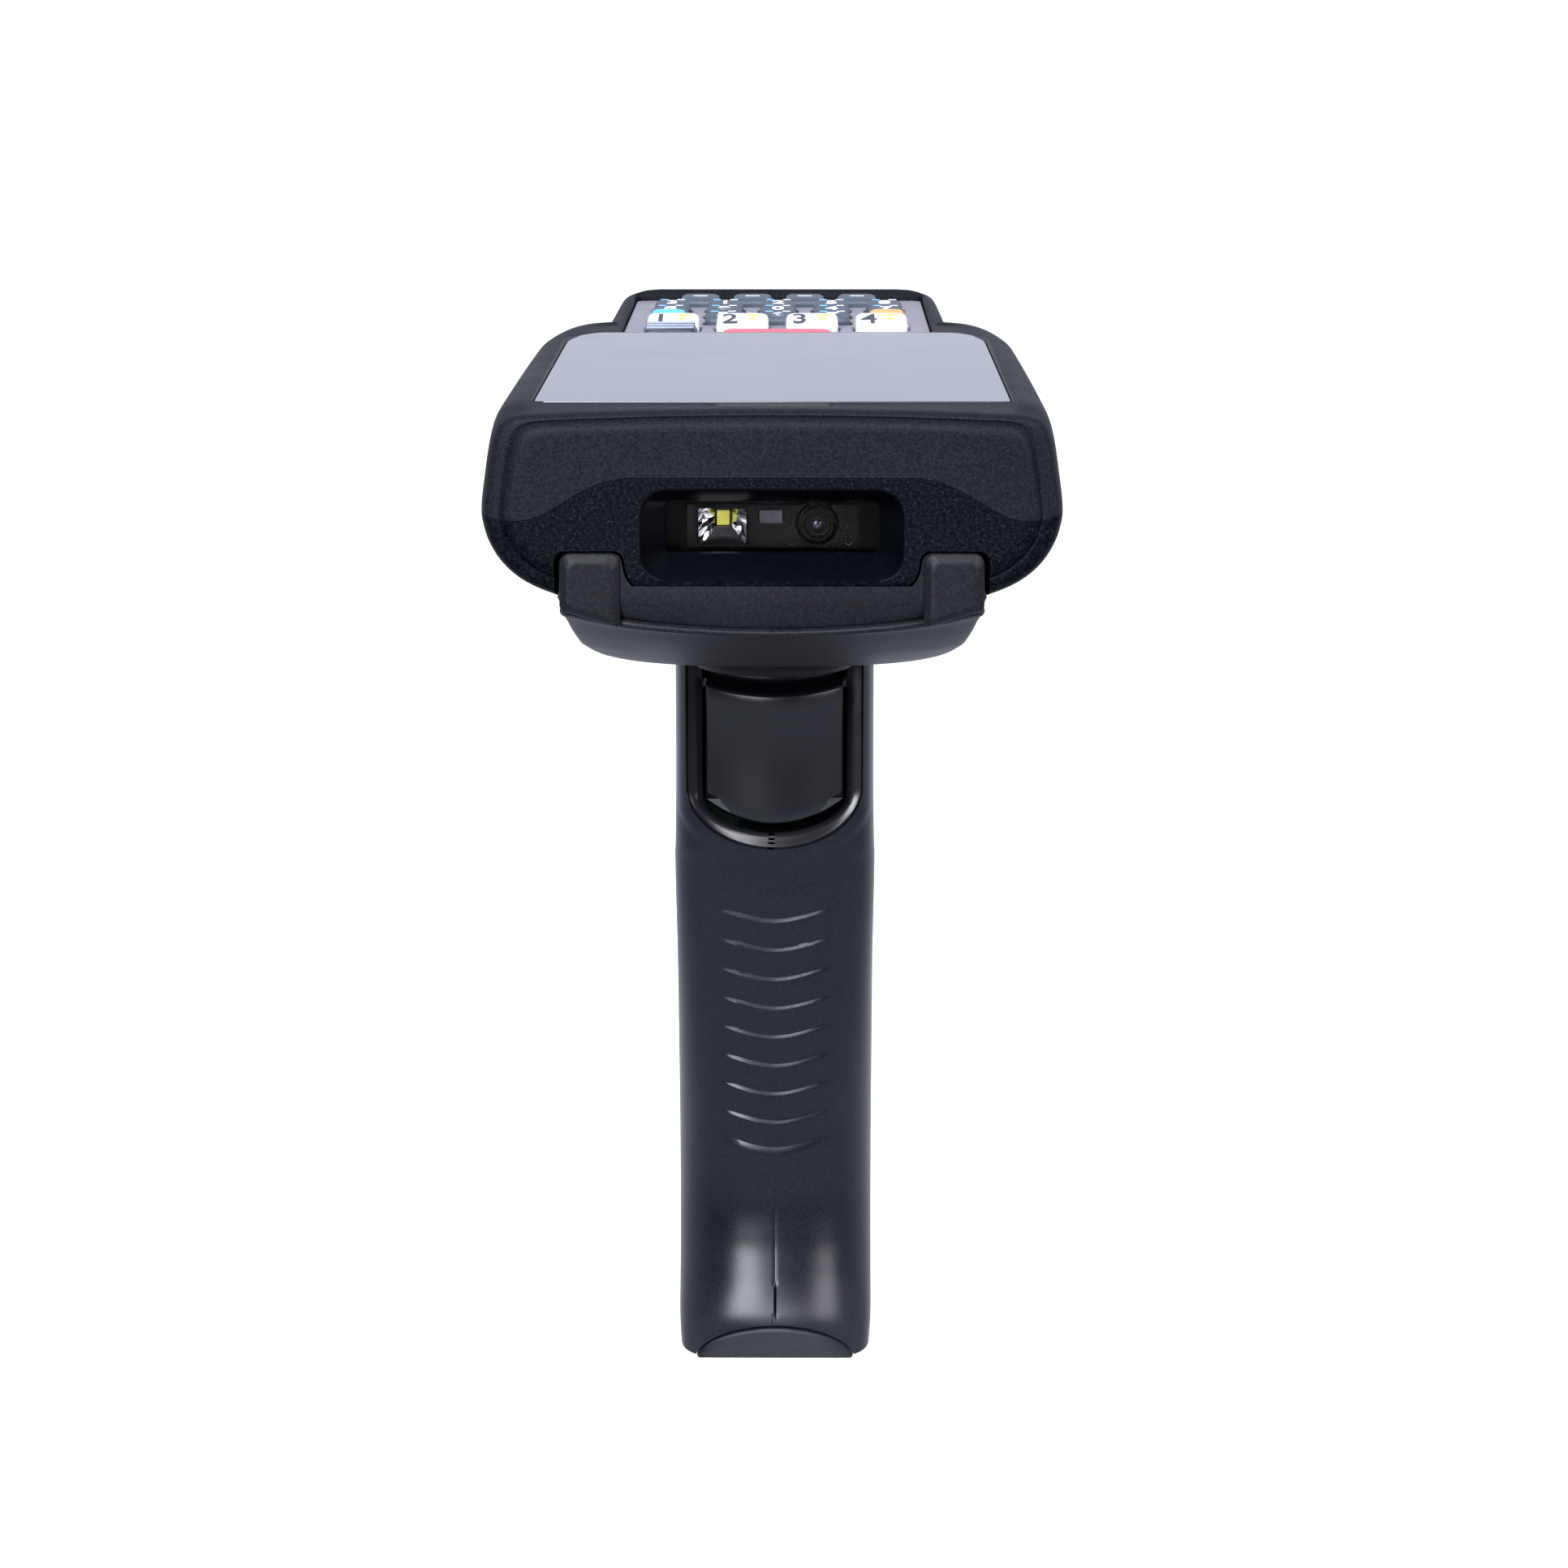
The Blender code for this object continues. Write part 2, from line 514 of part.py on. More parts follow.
# ---------------------------------------------------------------- side keys, battery, dock
def make_small_terminal_parts(outer):
    lip = 0.9 * MM
    for side, name in ((-1, "left_scan_key"), (1, "right_scan_key")):
        cap = sorted((side * 36.4 * MM, side * 41.5 * MM))
        flange = sorted((side * 36.2 * MM, side * 37.0 * MM))
        key = box(name, (cap[0], SIDE_KEY_Y[0], SIDE_KEY_Z[0]), (cap[1], SIDE_KEY_Y[1], SIDE_KEY_Z[1]), "trigger_plastic", 0.4 * MM)
        join(key, box(f"{name}_flange", (flange[0], SIDE_KEY_Y[0] - lip, SIDE_KEY_Z[0] - lip),
                      (flange[1], SIDE_KEY_Y[1] + lip, SIDE_KEY_Z[1] + lip)))

    battery = outer.copy()
    battery.data = outer.data.copy()
    finish_copy(battery, "battery_pack", "battery_case")
    keep_inside(battery, box(
        "battery_block", (-BATTERY_HALF, BATTERY_FRONT, GLASS_Z - 40 * MM),
        (BATTERY_HALF, BATTERY_REAR, GLASS_Z - BATTERY_TOP),
    ))
    cut(battery, box("battery_groove", (-5.6 * MM, BATTERY_FRONT - 1 * MM, GLASS_Z - 26.2 * MM),
                     (5.6 * MM, BATTERY_FRONT + 1.5 * MM, GLASS_Z)))
    latch = box("battery_latch", (-8 * MM, 45.3 * MM, GLASS_Z - 27.9 * MM), (8 * MM, 49.4 * MM, GLASS_Z - 24.3 * MM), "trigger_plastic", 0.3 * MM)
    join(latch, box("battery_latch_tongue", (-5 * MM, 49 * MM, GLASS_Z - 25.9 * MM), (5 * MM, BATTERY_FRONT + 1.1 * MM, GLASS_Z - 24.7 * MM)))
    box("dock_connector", (-DOCK_HALF, 97 * MM, DOCK_Z[0]), (DOCK_HALF, 104 * MM, DOCK_Z[1]), "optics_black", 0.3 * MM)


# ---------------------------------------------------------------- cradle
def plan_ring(depth, half, front, rear, front_corner, rear_corner, inset=0, steps=6):
    """A plan outline with elliptical corners: those at the front are as wide as the half width."""
    half, front, rear = half - inset, front + inset, rear - inset
    right = []
    for step in range(steps + 1):
        turn = math.pi / 2 * step / steps
        round_x = front_corner * 1.15
        right.append((half - round_x + round_x * math.sin(turn), front + front_corner * 0.55 * (1 - math.cos(turn))))
    for step in range(steps + 1):
        turn = math.pi / 2 * step / steps
        right.append((half - rear_corner + rear_corner * math.cos(turn), rear - rear_corner + rear_corner * math.sin(turn)))
    return [(x * MM, y * MM, GLASS_Z - depth * MM) for x, y in mirrored(right)]


def make_cradle():
    clearance = terminal_blank("terminal_clearance", grow=0.4)
    cut(clearance, *[
        prism(f"hook_seat_{side}", notch_outline(side, 0.4), "Y", NOSE_Y - 6 * MM, NOSE_Y + 3.7 * MM) for side in (-1, 1)
    ])
    tray = loft("cradle_tray", [plan_ring(*row) for row in CRADLE_UPPER], "grip_plastic", 30)
    cut(tray, clearance)
    for side in (-1, 1):
        hook = [
            [(side * 25.75 * MM + x, y, z) for x, y, z in rounded_rect(half_x * MM, half_z * MM, 1.4 * MM, GLASS_Z - 25.5 * MM, at_y * MM, 3)]
            for half_x, half_z, at_y in ((3.4, 4.4, -105.4), (4.1, 4.9, -105.1), (4.45, 5.2, -104.4), (4.45, 5.2, -101.1))
        ]
        join(tray, loft(f"hook_{side}", hook))
    contact_hole = box("contact_hole", (-7.3 * MM, -74.3 * MM, GLASS_Z - 35 * MM), (7.3 * MM, -67.7 * MM, GLASS_Z - 26 * MM))
    latch_hole = box("release_hole", (-6.6 * MM, 29.4 * MM, GLASS_Z - 33 * MM), (6.6 * MM, 37.2 * MM, GLASS_Z - 25 * MM))
    cut(tray, contact_hole, latch_hole)
    box("contact_block", (-7 * MM, -74 * MM, GLASS_Z - 30.8 * MM), (7 * MM, -68 * MM, GLASS_Z - 28.35 * MM), "optics_black", 0.3 * MM)

    base = loft("cradle_base", [plan_ring(*row) for row in CRADLE_LOWER], "grip_plastic", 30)
    hollow_rows = [(29, *CRADLE_LOWER[0][1:])] + [row for row in CRADLE_LOWER if 31.5 < row[0] < 40]
    hollow = loft("cradle_hollow", [plan_ring(*row, inset=2.2) for row in hollow_rows])
    cut(base, hollow)
    collar = [
        [(a * 13.6 * MM * scale, (-48.0 - 10.6 * scale * b) * MM, GLASS_Z - depth * MM) for a, b in half_circle()]
        for depth, scale in ((40.8, 1.0), (44.3, 1.0), (45.1, 0.97), (45.5, 0.9))
    ]
    join(base, loft("collar", collar))
    slot = box("release_slot", (-6.6 * MM, 33 * MM, GLASS_Z - 37.6 * MM), (6.6 * MM, 60 * MM, GLASS_Z - 30 * MM))
    cut(base, slot)
    wire_hole = cylinder("wire_hole", Vector((0, -20 * MM, GLASS_Z - 41 * MM)), 5 * MM, 8 * MM, "Z")
    cut(base, wire_hole)

    latch = box("release_latch", (-6.2 * MM, 31.3 * MM, GLASS_Z - 37.2 * MM), (6.2 * MM, 43.6 * MM, GLASS_Z - 32.0 * MM), "trigger_plastic", 0.5 * MM)
    stem = box("release_stem", (-5.6 * MM, 30.7 * MM, GLASS_Z - 34 * MM), (5.6 * MM, 33.6 * MM, GLASS_Z - 24.7 * MM))
    nose = box("release_nose", (-5.6 * MM, 28.6 * MM, GLASS_Z - 25.9 * MM), (5.6 * MM, 31.5 * MM, GLASS_Z - 24.7 * MM))
    join(latch, stem, nose)


def half_circle(steps=12):
    """(cos, sin) from one side over the front to the other, closed by the chord between them."""
    return [(math.cos(math.pi * i / steps), math.sin(math.pi * i / steps)) for i in range(steps + 1)]


# ---------------------------------------------------------------- grip
def grip_ring(z, inset=0, steps=8):
    """The grip's section at z (mm): half ellipses at the front and back, straight flanks between."""
    front, back, half = (at(GRIP, z, column) for column in (1, 2, 3))
    front, back, half = front + inset, back - inset, half - inset
    nose = GRIP_NOSE / MM - inset * 0.6
    right = []
    for step in range(steps + 1):
        turn = math.pi / 2 * step / steps
        right.append((half * math.sin(turn), front + nose * (1 - math.cos(turn))))
    for step in range(steps + 1):
        turn = math.pi / 2 * step / steps
        right.append((half * math.cos(turn), back - nose + nose * math.sin(turn)))
    outline = right + [(-x, y) for x, y in reversed(right[1:-1])]
    return [(x * MM, y * MM, z * MM) for x, y in outline]


def trigger_mouth():
    """The U-shaped opening in the grip's front, flared at its lip."""
    def ring(half, floor, y):
        right = [(half, 126), (half, 93)]
        for step in range(1, 7):
            turn = math.pi / 2 * step / 6
            right.append((half * math.cos(turn), 93 - (93 - floor) * math.sin(turn) ** 0.8))
        outline = right + [(-x, z) for x, z in reversed(right[:-1])]
        return [(x * MM, y * MM, z * MM) for x, z in outline]
    return loft("trigger_mouth", [ring(14.6, 83.2, -62), ring(14.4, 83.6, -46.5), ring(11.2, 85.9, -42.6), ring(11.2, 85.9, -30)])


def make_grip():
    levels = [row[0] for row in GRIP]
    shell = loft("grip_blank", [grip_ring(z) for z in levels])
    inside_levels = [-1] + levels[1:-1] + [115]
    inside = loft("grip_inside", [[(x, y, z * MM) for x, y, _ in grip_ring(max(z, 1.6), 2.4)] for z in inside_levels])
    toe = box("toe_cut", (-30 * MM, -60 * MM, -1 * MM), (30 * MM, TOE_Y, 18 * MM))
    mouth = trigger_mouth()
    wire_way = box("wire_way", (-6 * MM, -28 * MM, 111 * MM), (6 * MM, -12 * MM, 121 * MM))

    screws = (("grip_screw_upper", -8, 105), ("grip_screw_middle", -20, 55), ("grip_screw_lower", -12, 14))
    for side, name in ((-1, "grip_left_half"), (1, "grip_right_half")):
        half = shell.copy()
        half.data = shell.data.copy()
        finish_copy(half, name, "grip_plastic")
        other_side = sorted((-side * 40 * MM, side * 0.1 * MM))
        cut(half, inside, toe, mouth, wire_way, box(f"centre_cut_{side}", (other_side[0], -80 * MM, -10 * MM), (other_side[1], 60 * MM, 140 * MM)))
        join(half, cylinder(f"pin_boss_{side}", Vector((side * 12 * MM, PIVOT.y, PIVOT.z)), 2.9 * MM, 1.9 * MM, "X"))
        cut(half, cylinder(f"pin_hole_{side}", Vector((side * 10.6 * MM, PIVOT.y, PIVOT.z)), 1.5 * MM + GAP, 4 * MM, "X"))
        for screw, y, z in screws:
            boss = cylinder(f"{screw}_boss_{side}", Vector((side * 7.1 * MM, y * MM, z * MM)), 3.4 * MM, 14 * MM, "X", sides=16)
            join(half, boss)
            if side < 0:
                cut(half,
                    cylinder(f"{screw}_head_hole", Vector((-15.1 * MM, y * MM, z * MM)), 2.6 * MM, 8 * MM, "X", sides=16),
                    cylinder(f"{screw}_clear_hole", Vector((-6 * MM, y * MM, z * MM)), 1.3 * MM + GAP, 16 * MM, "X", sides=16))
            else:
                cut(half, cylinder(f"{screw}_thread_hole", Vector((4 * MM, y * MM, z * MM)), 1.3 * MM + GAP, 12 * MM, "X", sides=16))
    for screw, y, z in screws:
        body = cylinder(screw, Vector((-2.7 * MM, y * MM, z * MM)), 1.3 * MM, 18 * MM, "X", "metal", 16)
        join(body, cylinder(f"{screw}_head", Vector((-12.5 * MM, y * MM, z * MM)), 2.25 * MM, 2.2 * MM, "X", sides=16))
        cut(body, box(f"{screw}_slot", (-14.6 * MM, (y - 1.5) * MM, (z - 0.35) * MM), (-13.0 * MM, (y + 1.5) * MM, (z + 0.35) * MM)))

    foot_levels = ((0, 2.6), (0.5, 1.8), (1.3, 1.3))
    foot = loft("grip_foot", [[(x, y, level * MM) for x, y, _ in grip_ring(1.6, inset)] for level, inset in foot_levels], "foot_rubber", 30)
    bumper = loft("foot_bumper", [[(x, y, z * MM) for x, y, _ in grip_ring(max(z, 1.6), 0.9)] for z in (0.6, 1.6, 4, 6.4, 9.5)])
    join(foot, bumper)
    cut(foot,
        box("bumper_back", (-30 * MM, TOE_Y - GAP, 1.3 * MM), (30 * MM, 40 * MM, 30 * MM)),
        box("bumper_front", (-30 * MM, -70 * MM, -5 * MM), (30 * MM, TOE_Y - 1.6 * MM, 30 * MM)))


def make_trigger():
    rings = []
    for z, front, back, half in TRIGGER:
        right = []
        for step in range(7):
            turn = math.pi / 2 * step / 6
            right.append((half * math.sin(turn), front + min(5.2, back - front - 1) * (1 - math.cos(turn)) ** 1.15))
        right.append((half, back - 0.8))
        right.append((half - 0.8, back))
        outline = right + [(-x, y) for x, y in reversed(right[1:])]
        rings.append([(x * MM, y * MM, z * MM) for x, y in outline])
    trigger = loft("trigger", rings, "trigger_plastic", 40)
    cut(trigger, cylinder("trigger_bore", PIVOT, 1.5 * MM + GAP, 40 * MM, "X"))
    cylinder("trigger_pin", PIVOT, 1.5 * MM, 24.4 * MM, "X", "metal", 20)

    board_y, spring_z = -26.5 * MM, 98.6 * MM
    switch = box("trigger_switch", (-9 * MM, board_y, 88.5 * MM), (9 * MM, board_y + 1.4 * MM, 108.5 * MM), "board")
    join(switch,
         box("switch_body", (-5 * MM, -34.2 * MM, 89.0 * MM), (5 * MM, board_y + 0.5 * MM, 95 * MM)),
         cylinder("switch_plunger", Vector((0, -35 * MM, 92 * MM)), 1.2 * MM, 2 * MM, "Y", sides=12))
    make_spring("trigger_spring", Vector((0, -36.5 * MM, spring_z)), Vector((0, board_y - GAP - 0.35 * MM, spring_z)))


def make_spring(name, start, end, radius=2.4 * MM, wire=0.35 * MM, turns=6, per_turn=10):
    """A compression spring between two points along Y, the last part turn of each end wound flat."""
    count = turns * per_turn
    curve = bpy.data.curves.new(name, "CURVE")
    curve.dimensions = "3D"
    curve.bevel_depth = wire
    curve.bevel_resolution = 1
    curve.use_fill_caps = True
    spline = curve.splines.new("POLY")
    spline.points.add(count)
    for i, point in enumerate(spline.points):
        turn = 2 * math.pi * turns * i / count
        along = min(1, max(0, (i / count - 0.12) / 0.76))
        centre = start.lerp(end, along)
        point.co = (centre.x + radius * math.cos(turn), centre.y, centre.z + radius * math.sin(turn), 1)
    curve.materials.append(material("metal"))
    obj = bpy.data.objects.new(name, curve)
    PARTS.objects.link(obj)


def put_origin(name, point):
    """Moves a piece's origin to a point on its joint's axis, leaving its shape where it is."""
    obj = bpy.data.objects[name]
    point = Vector(point)
    obj.data.transform(Matrix.Translation(-point))
    obj.location = point


def main():
    outer = terminal_blank("terminal_outer")
    make_housings(outer)
    make_seal()
    make_front_of_terminal()
    make_scanner()
    make_keypad()
    make_small_terminal_parts(outer)
    make_cradle()
    make_grip()
    make_trigger()
    for name, x, y, *_ in key_layout():
        put_origin(name, (x * MM, y * MM, GLASS_Z - PLATE_DEPTH))
    put_origin("trigger", PIVOT)
    put_origin("left_scan_key", (-41 * MM, -35 * MM, GLASS_Z - 9.7 * MM))
    put_origin("right_scan_key", (41 * MM, -35 * MM, GLASS_Z - 9.7 * MM))
    put_origin("battery_pack", (0, 73.5 * MM, GLASS_Z - 22 * MM))
    put_origin("battery_latch", (0, 47.35 * MM, GLASS_Z - 26.1 * MM))
    put_origin("release_latch", (0, 37.4 * MM, GLASS_Z - 34.6 * MM))


main()
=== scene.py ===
"""Looks of the handheld data terminal: fine surfaces, materials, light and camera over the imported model."""

import math

import bmesh
import bpy
import numpy as np
from mathutils import Matrix, Vector


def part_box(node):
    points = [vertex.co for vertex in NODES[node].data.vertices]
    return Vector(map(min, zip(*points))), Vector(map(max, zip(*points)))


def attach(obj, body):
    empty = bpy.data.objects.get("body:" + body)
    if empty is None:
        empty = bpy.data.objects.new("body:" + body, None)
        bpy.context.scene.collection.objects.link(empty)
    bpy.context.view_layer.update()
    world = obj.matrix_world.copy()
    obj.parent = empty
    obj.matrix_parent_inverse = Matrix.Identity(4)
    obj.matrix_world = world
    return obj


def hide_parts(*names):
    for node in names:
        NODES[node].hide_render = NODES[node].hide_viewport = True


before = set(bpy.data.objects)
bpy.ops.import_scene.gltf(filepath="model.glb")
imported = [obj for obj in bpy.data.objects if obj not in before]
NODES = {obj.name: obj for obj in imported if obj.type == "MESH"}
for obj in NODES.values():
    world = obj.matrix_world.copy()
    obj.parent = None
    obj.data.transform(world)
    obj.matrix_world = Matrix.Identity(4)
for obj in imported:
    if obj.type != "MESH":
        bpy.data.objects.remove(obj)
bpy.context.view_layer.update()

# Everything below is in millimetres and becomes metres when a mesh is made.
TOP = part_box("display_window")[1][2] * 1000  # the glass's surface
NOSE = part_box("top_housing")[0][1] * 1000  # the scan nose's front


# ------------------------------------------------------------------ numbers
def pchip(xs, ys, x):
    """Smooth interpolation that never overshoots."""
    xs, ys, x = np.asarray(xs, float), np.asarray(ys, float), np.asarray(x, float)
    h = np.diff(xs)
    d = np.diff(ys) / h
    m = np.zeros(len(xs))
    m[0], m[-1] = d[0], d[-1]
    for i in range(1, len(xs) - 1):
        if d[i - 1] * d[i] > 0:
            w1, w2 = 2 * h[i] + h[i - 1], h[i] + 2 * h[i - 1]
            m[i] = (w1 + w2) / (w1 / d[i - 1] + w2 / d[i])
    k = np.clip(np.searchsorted(xs, x) - 1, 0, len(h) - 1)
    t = np.clip((x - xs[k]) / h[k], 0, 1)
    a, b = ys[k], ys[k + 1]
    return (
        (2 * t**3 - 3 * t**2 + 1) * a + (t**3 - 2 * t**2 + t) * h[k] * m[k]
        + (-2 * t**3 + 3 * t**2) * b + (t**3 - t**2) * h[k] * m[k + 1]
    )


def refine(rows, step, least=3):
    """Rows of numbers, smoothly subdivided so that neighbours lie about step apart."""
    rows = np.asarray(rows, float)
    gaps = np.maximum(np.linalg.norm(np.diff(rows, axis=0), axis=1), 1e-6)
    along = np.concatenate([[0], np.cumsum(gaps)])
    places = []
    for i, gap in enumerate(gaps):
        count = max(least, int(math.ceil(gap / step)))
        places += [along[i] + gap * j / count for j in range(count)]
    places.append(along[-1])
    return np.stack([pchip(along, rows[:, c], places) for c in range(rows.shape[1])], axis=1)


def ease(low, high, x):
    t = np.clip((x - low) / (high - low), 0, 1)
    return t * t * (3 - 2 * t)


# ------------------------------------------------------------------ meshes
def mesh_object(name, verts, faces, material, smooth_deg=35):
    mesh = bpy.data.meshes.new(name)
    mesh.from_pydata([tuple(float(c) * 0.001 for c in v) for v in verts], [], faces)
    bm = bmesh.new()
    bm.from_mesh(mesh)
    bmesh.ops.remove_doubles(bm, verts=bm.verts, dist=1e-7)
    bmesh.ops.recalc_face_normals(bm, faces=bm.faces)
    bm.to_mesh(mesh)
    bm.free()
    obj = bpy.data.objects.new(name, mesh)
    bpy.context.scene.collection.objects.link(obj)
    if material is not None:
        mesh.materials.append(material)
    shade(obj, smooth_deg)
    return obj


def shade(obj, smooth_deg=35):
    obj.data.shade_smooth()
    obj.data.set_sharp_from_angle(angle=math.radians(smooth_deg))


def weighted(obj):
    step = obj.modifiers.new("weighted", "WEIGHTED_NORMAL")
    step.keep_sharp = True
    step.weight = 60
    return obj


def loft(name, rings, material=None, smooth_deg=35):
    """A closed skin through rings of equally many points."""
    rings = [np.asarray(r, float) for r in rings]
    count = len(rings[0])
    verts = np.concatenate(rings)
    faces = []
    for level in range(len(rings) - 1):
        a = level * count
        b = a + count
        faces += [(a + i, a + (i + 1) % count, b + (i + 1) % count, b + i) for i in range(count)]
    faces.append(tuple(range(count)))
    faces.append(tuple(range(len(verts) - count, len(verts))))
    return mesh_object(name, verts, faces, material, smooth_deg)


def prism(name, outline, axis, start, end, material=None):
    place = {"X": lambda a, b, c: (c, a, b), "Y": lambda a, b, c: (a, c, b), "Z": lambda a, b, c: (a, b, c)}[axis]
    return loft(name, [[place(a, b, c) for a, b in outline] for c in (start, end)], material)


def rounded(half_a, half_b, radius, steps=6, centre=(0, 0)):
    """A rounded rectangle's outline."""
    points = []
    for quarter, (sa, sb) in enumerate(((1, 1), (-1, 1), (-1, -1), (1, -1))):
        for i in range(steps + 1):
            turn = math.pi / 2 * (quarter + i / steps)
            points.append((centre[0] + sa * (half_a - radius) + radius * math.cos(turn),
                           centre[1] + sb * (half_b - radius) + radius * math.sin(turn)))
    return points


def block(name, low, high, material, edge=0.3, steps=3):
    """A box with rounded edges."""
    low, high = Vector(low), Vector(high)
    size = high - low
    bm = bmesh.new()
    bmesh.ops.create_cube(bm, size=1)
    for v in bm.verts:
        v.co = (low + high) / 2 + Vector(v.co[i] * size[i] for i in range(3))
    if edge:
        reach = min(edge, min(size) * 0.45)
        bmesh.ops.bevel(bm, geom=bm.edges[:], offset=reach, segments=steps, affect="EDGES", profile=0.5)
    verts = [v.co.copy() for v in bm.verts]
    faces = [tuple(v.index for v in f.verts) for f in bm.faces]
    bm.free()
    return mesh_object(name, verts, faces, material, 50)


def turned(name, centre, axis, profile, material, sides=48, smooth_deg=30):
    """A turned piece: profile rows are (radius, distance along the axis)."""
    turn = {
        "X": Matrix.Rotation(math.pi / 2, 3, "Y"),
        "Y": Matrix.Rotation(-math.pi / 2, 3, "X"),
        "Z": Matrix.Identity(3),
    }[axis]
    rings = []
    for radius, along in profile:
        ring = []
        for i in range(sides):
            a = 2 * math.pi * i / sides
            ring.append(turn @ Vector((radius * math.cos(a), radius * math.sin(a), along)) + Vector(centre))
        rings.append(ring)
    return loft(name, rings, material, smooth_deg)


def carve(obj, *cutters, operation="DIFFERENCE", smooth_deg=35):
    """Applies the cutters to obj's mesh and removes them."""
    for cutter in cutters:
        step = obj.modifiers.new("carve", "BOOLEAN")
        step.operation = operation
        step.solver = "EXACT"
        step.material_mode = "TRANSFER"
        step.object = cutter
    bpy.context.view_layer.update()
    result = bpy.data.meshes.new_from_object(obj.evaluated_get(bpy.context.evaluated_depsgraph_get()))
    obj.modifiers.clear()
    old = obj.data
    result.name = obj.name
    obj.data = result
    bpy.data.meshes.remove(old)
    for cutter in cutters:
        bpy.data.objects.remove(cutter, do_unlink=True)
    bm = bmesh.new()
    bm.from_mesh(obj.data)
    bmesh.ops.remove_doubles(bm, verts=bm.verts, dist=2e-6)
    bm.to_mesh(obj.data)
    bm.free()
    shade(obj, smooth_deg)
    return obj


def place(obj, body, slot, *replaced):
    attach(obj, body)
    if replaced:
        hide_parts(*replaced)
    return obj


# ------------------------------------------------------------------ materials
def new_material(name, colour, roughness, metallic=0.0, specular=0.5):
    mat = bpy.data.materials.new(name)
    mat.use_nodes = True
    shader = mat.node_tree.nodes["Principled BSDF"]
    shader.inputs["Base Color"].default_value = (*colour, 1)
    shader.inputs["Roughness"].default_value = roughness
    shader.inputs["Metallic"].default_value = metallic
    shader.inputs["Specular IOR Level"].default_value = specular
    return mat, mat.node_tree, shader


def node(tree, kind, **values):
    made = tree.nodes.new(kind)
    for key, value in values.items():
        if key in made.inputs:
            made.inputs[key].default_value = value
        else:
            setattr(made, key, value)
    return made


def coords(tree):
    return node(tree, "ShaderNodeTexCoord").outputs["Object"]


def noise(tree, scale, detail, roughness=0.5):
    made = node(tree, "ShaderNodeTexNoise", Scale=scale, Detail=detail, Roughness=roughness)
    tree.links.new(coords(tree), made.inputs["Vector"])
    return made.outputs["Fac"]

def ramp(tree, source, low, high, start=0.0, end=1.0):
    """The source's range from start to end, mapped to low and high."""
    made = node(tree, "ShaderNodeMapRange")
    for key, value in (("From Min", start), ("From Max", end), ("To Min", low), ("To Max", high)):
        made.inputs[key].default_value = value
    tree.links.new(source, made.inputs["Value"])
    return made.outputs["Result"]

def multiplied(tree, first, second):
    """Two colours multiplied; the first may be a plain colour."""
    made = node(tree, "ShaderNodeMix", data_type="RGBA", blend_type="MULTIPLY")
    made.inputs["Factor"].default_value = 1.0
    if isinstance(first, tuple):
        made.inputs["A"].default_value = (*first, 1)
    else:
        tree.links.new(first, made.inputs["A"])
    tree.links.new(second, made.inputs["B"])
    return made.outputs["Result"]

def times(tree, first, second):
    made = node(tree, "ShaderNodeMath", operation="MULTIPLY")
    tree.links.new(first, made.inputs[0])
    if isinstance(second, float):
        made.inputs[1].default_value = second
    else:
        tree.links.new(second, made.inputs[1])
    return made.outputs[0]

def moulded(name, colour, roughness, grain=0.35, depth=0.02, painted_glint=0.0, painted_glint_colour=(0.25, 0.28, 0.38),
            vary=0.12, specular=0.5, mottle=0.12):
    """Moulded plastic: an eroded grain of a size in mm, slow changes of tone and gloss, and painted glints: light
    specks painted into the colour where the grain's facets would catch light.
    """
    mat, tree, shader = new_material(name, colour, roughness, 0.0, specular)
    fine = noise(tree, 1000 / grain / 2, 3.0, 0.55)
    slow = noise(tree, 28.0, 4.0, 0.6)
    last = multiplied(tree, colour, ramp(tree, slow, 1 - vary, 1 + vary, 0.3, 0.7))
    last = multiplied(tree, last, ramp(tree, fine, 1 - mottle, 1 + mottle, 0.35, 0.65))
    # painted highlight: these light bluish specks are mixed into the base colour as painted glints, standing for light
    # caught by the eroded grain's facets
    if painted_glint:
        cells = node(tree, "ShaderNodeTexVoronoi", Scale=1000 / grain / 1.1)
        tree.links.new(coords(tree), cells.inputs["Vector"])
        pick = ramp(tree, cells.outputs["Distance"], 0.0, 1.0, 0.34, 0.12)
        some = ramp(tree, fine, 0.0, 1.0, 0.44, 0.62)
        glint = node(tree, "ShaderNodeMix", data_type="RGBA", blend_type="MIX")
        glint.inputs["B"].default_value = (*painted_glint_colour, 1)
        tree.links.new(last, glint.inputs["A"])
        tree.links.new(times(tree, times(tree, pick, some), painted_glint), glint.inputs["Factor"])
        last = glint.outputs["Result"]
    tree.links.new(last, shader.inputs["Base Color"])
    tree.links.new(ramp(tree, slow, roughness - 0.06, roughness + 0.06, 0.3, 0.7), shader.inputs["Roughness"])
    bump = node(tree, "ShaderNodeBump", Strength=1.0, Distance=depth * 0.001)
    tree.links.new(fine, bump.inputs["Height"])
    tree.links.new(bump.outputs["Normal"], shader.inputs["Normal"])
    return mat

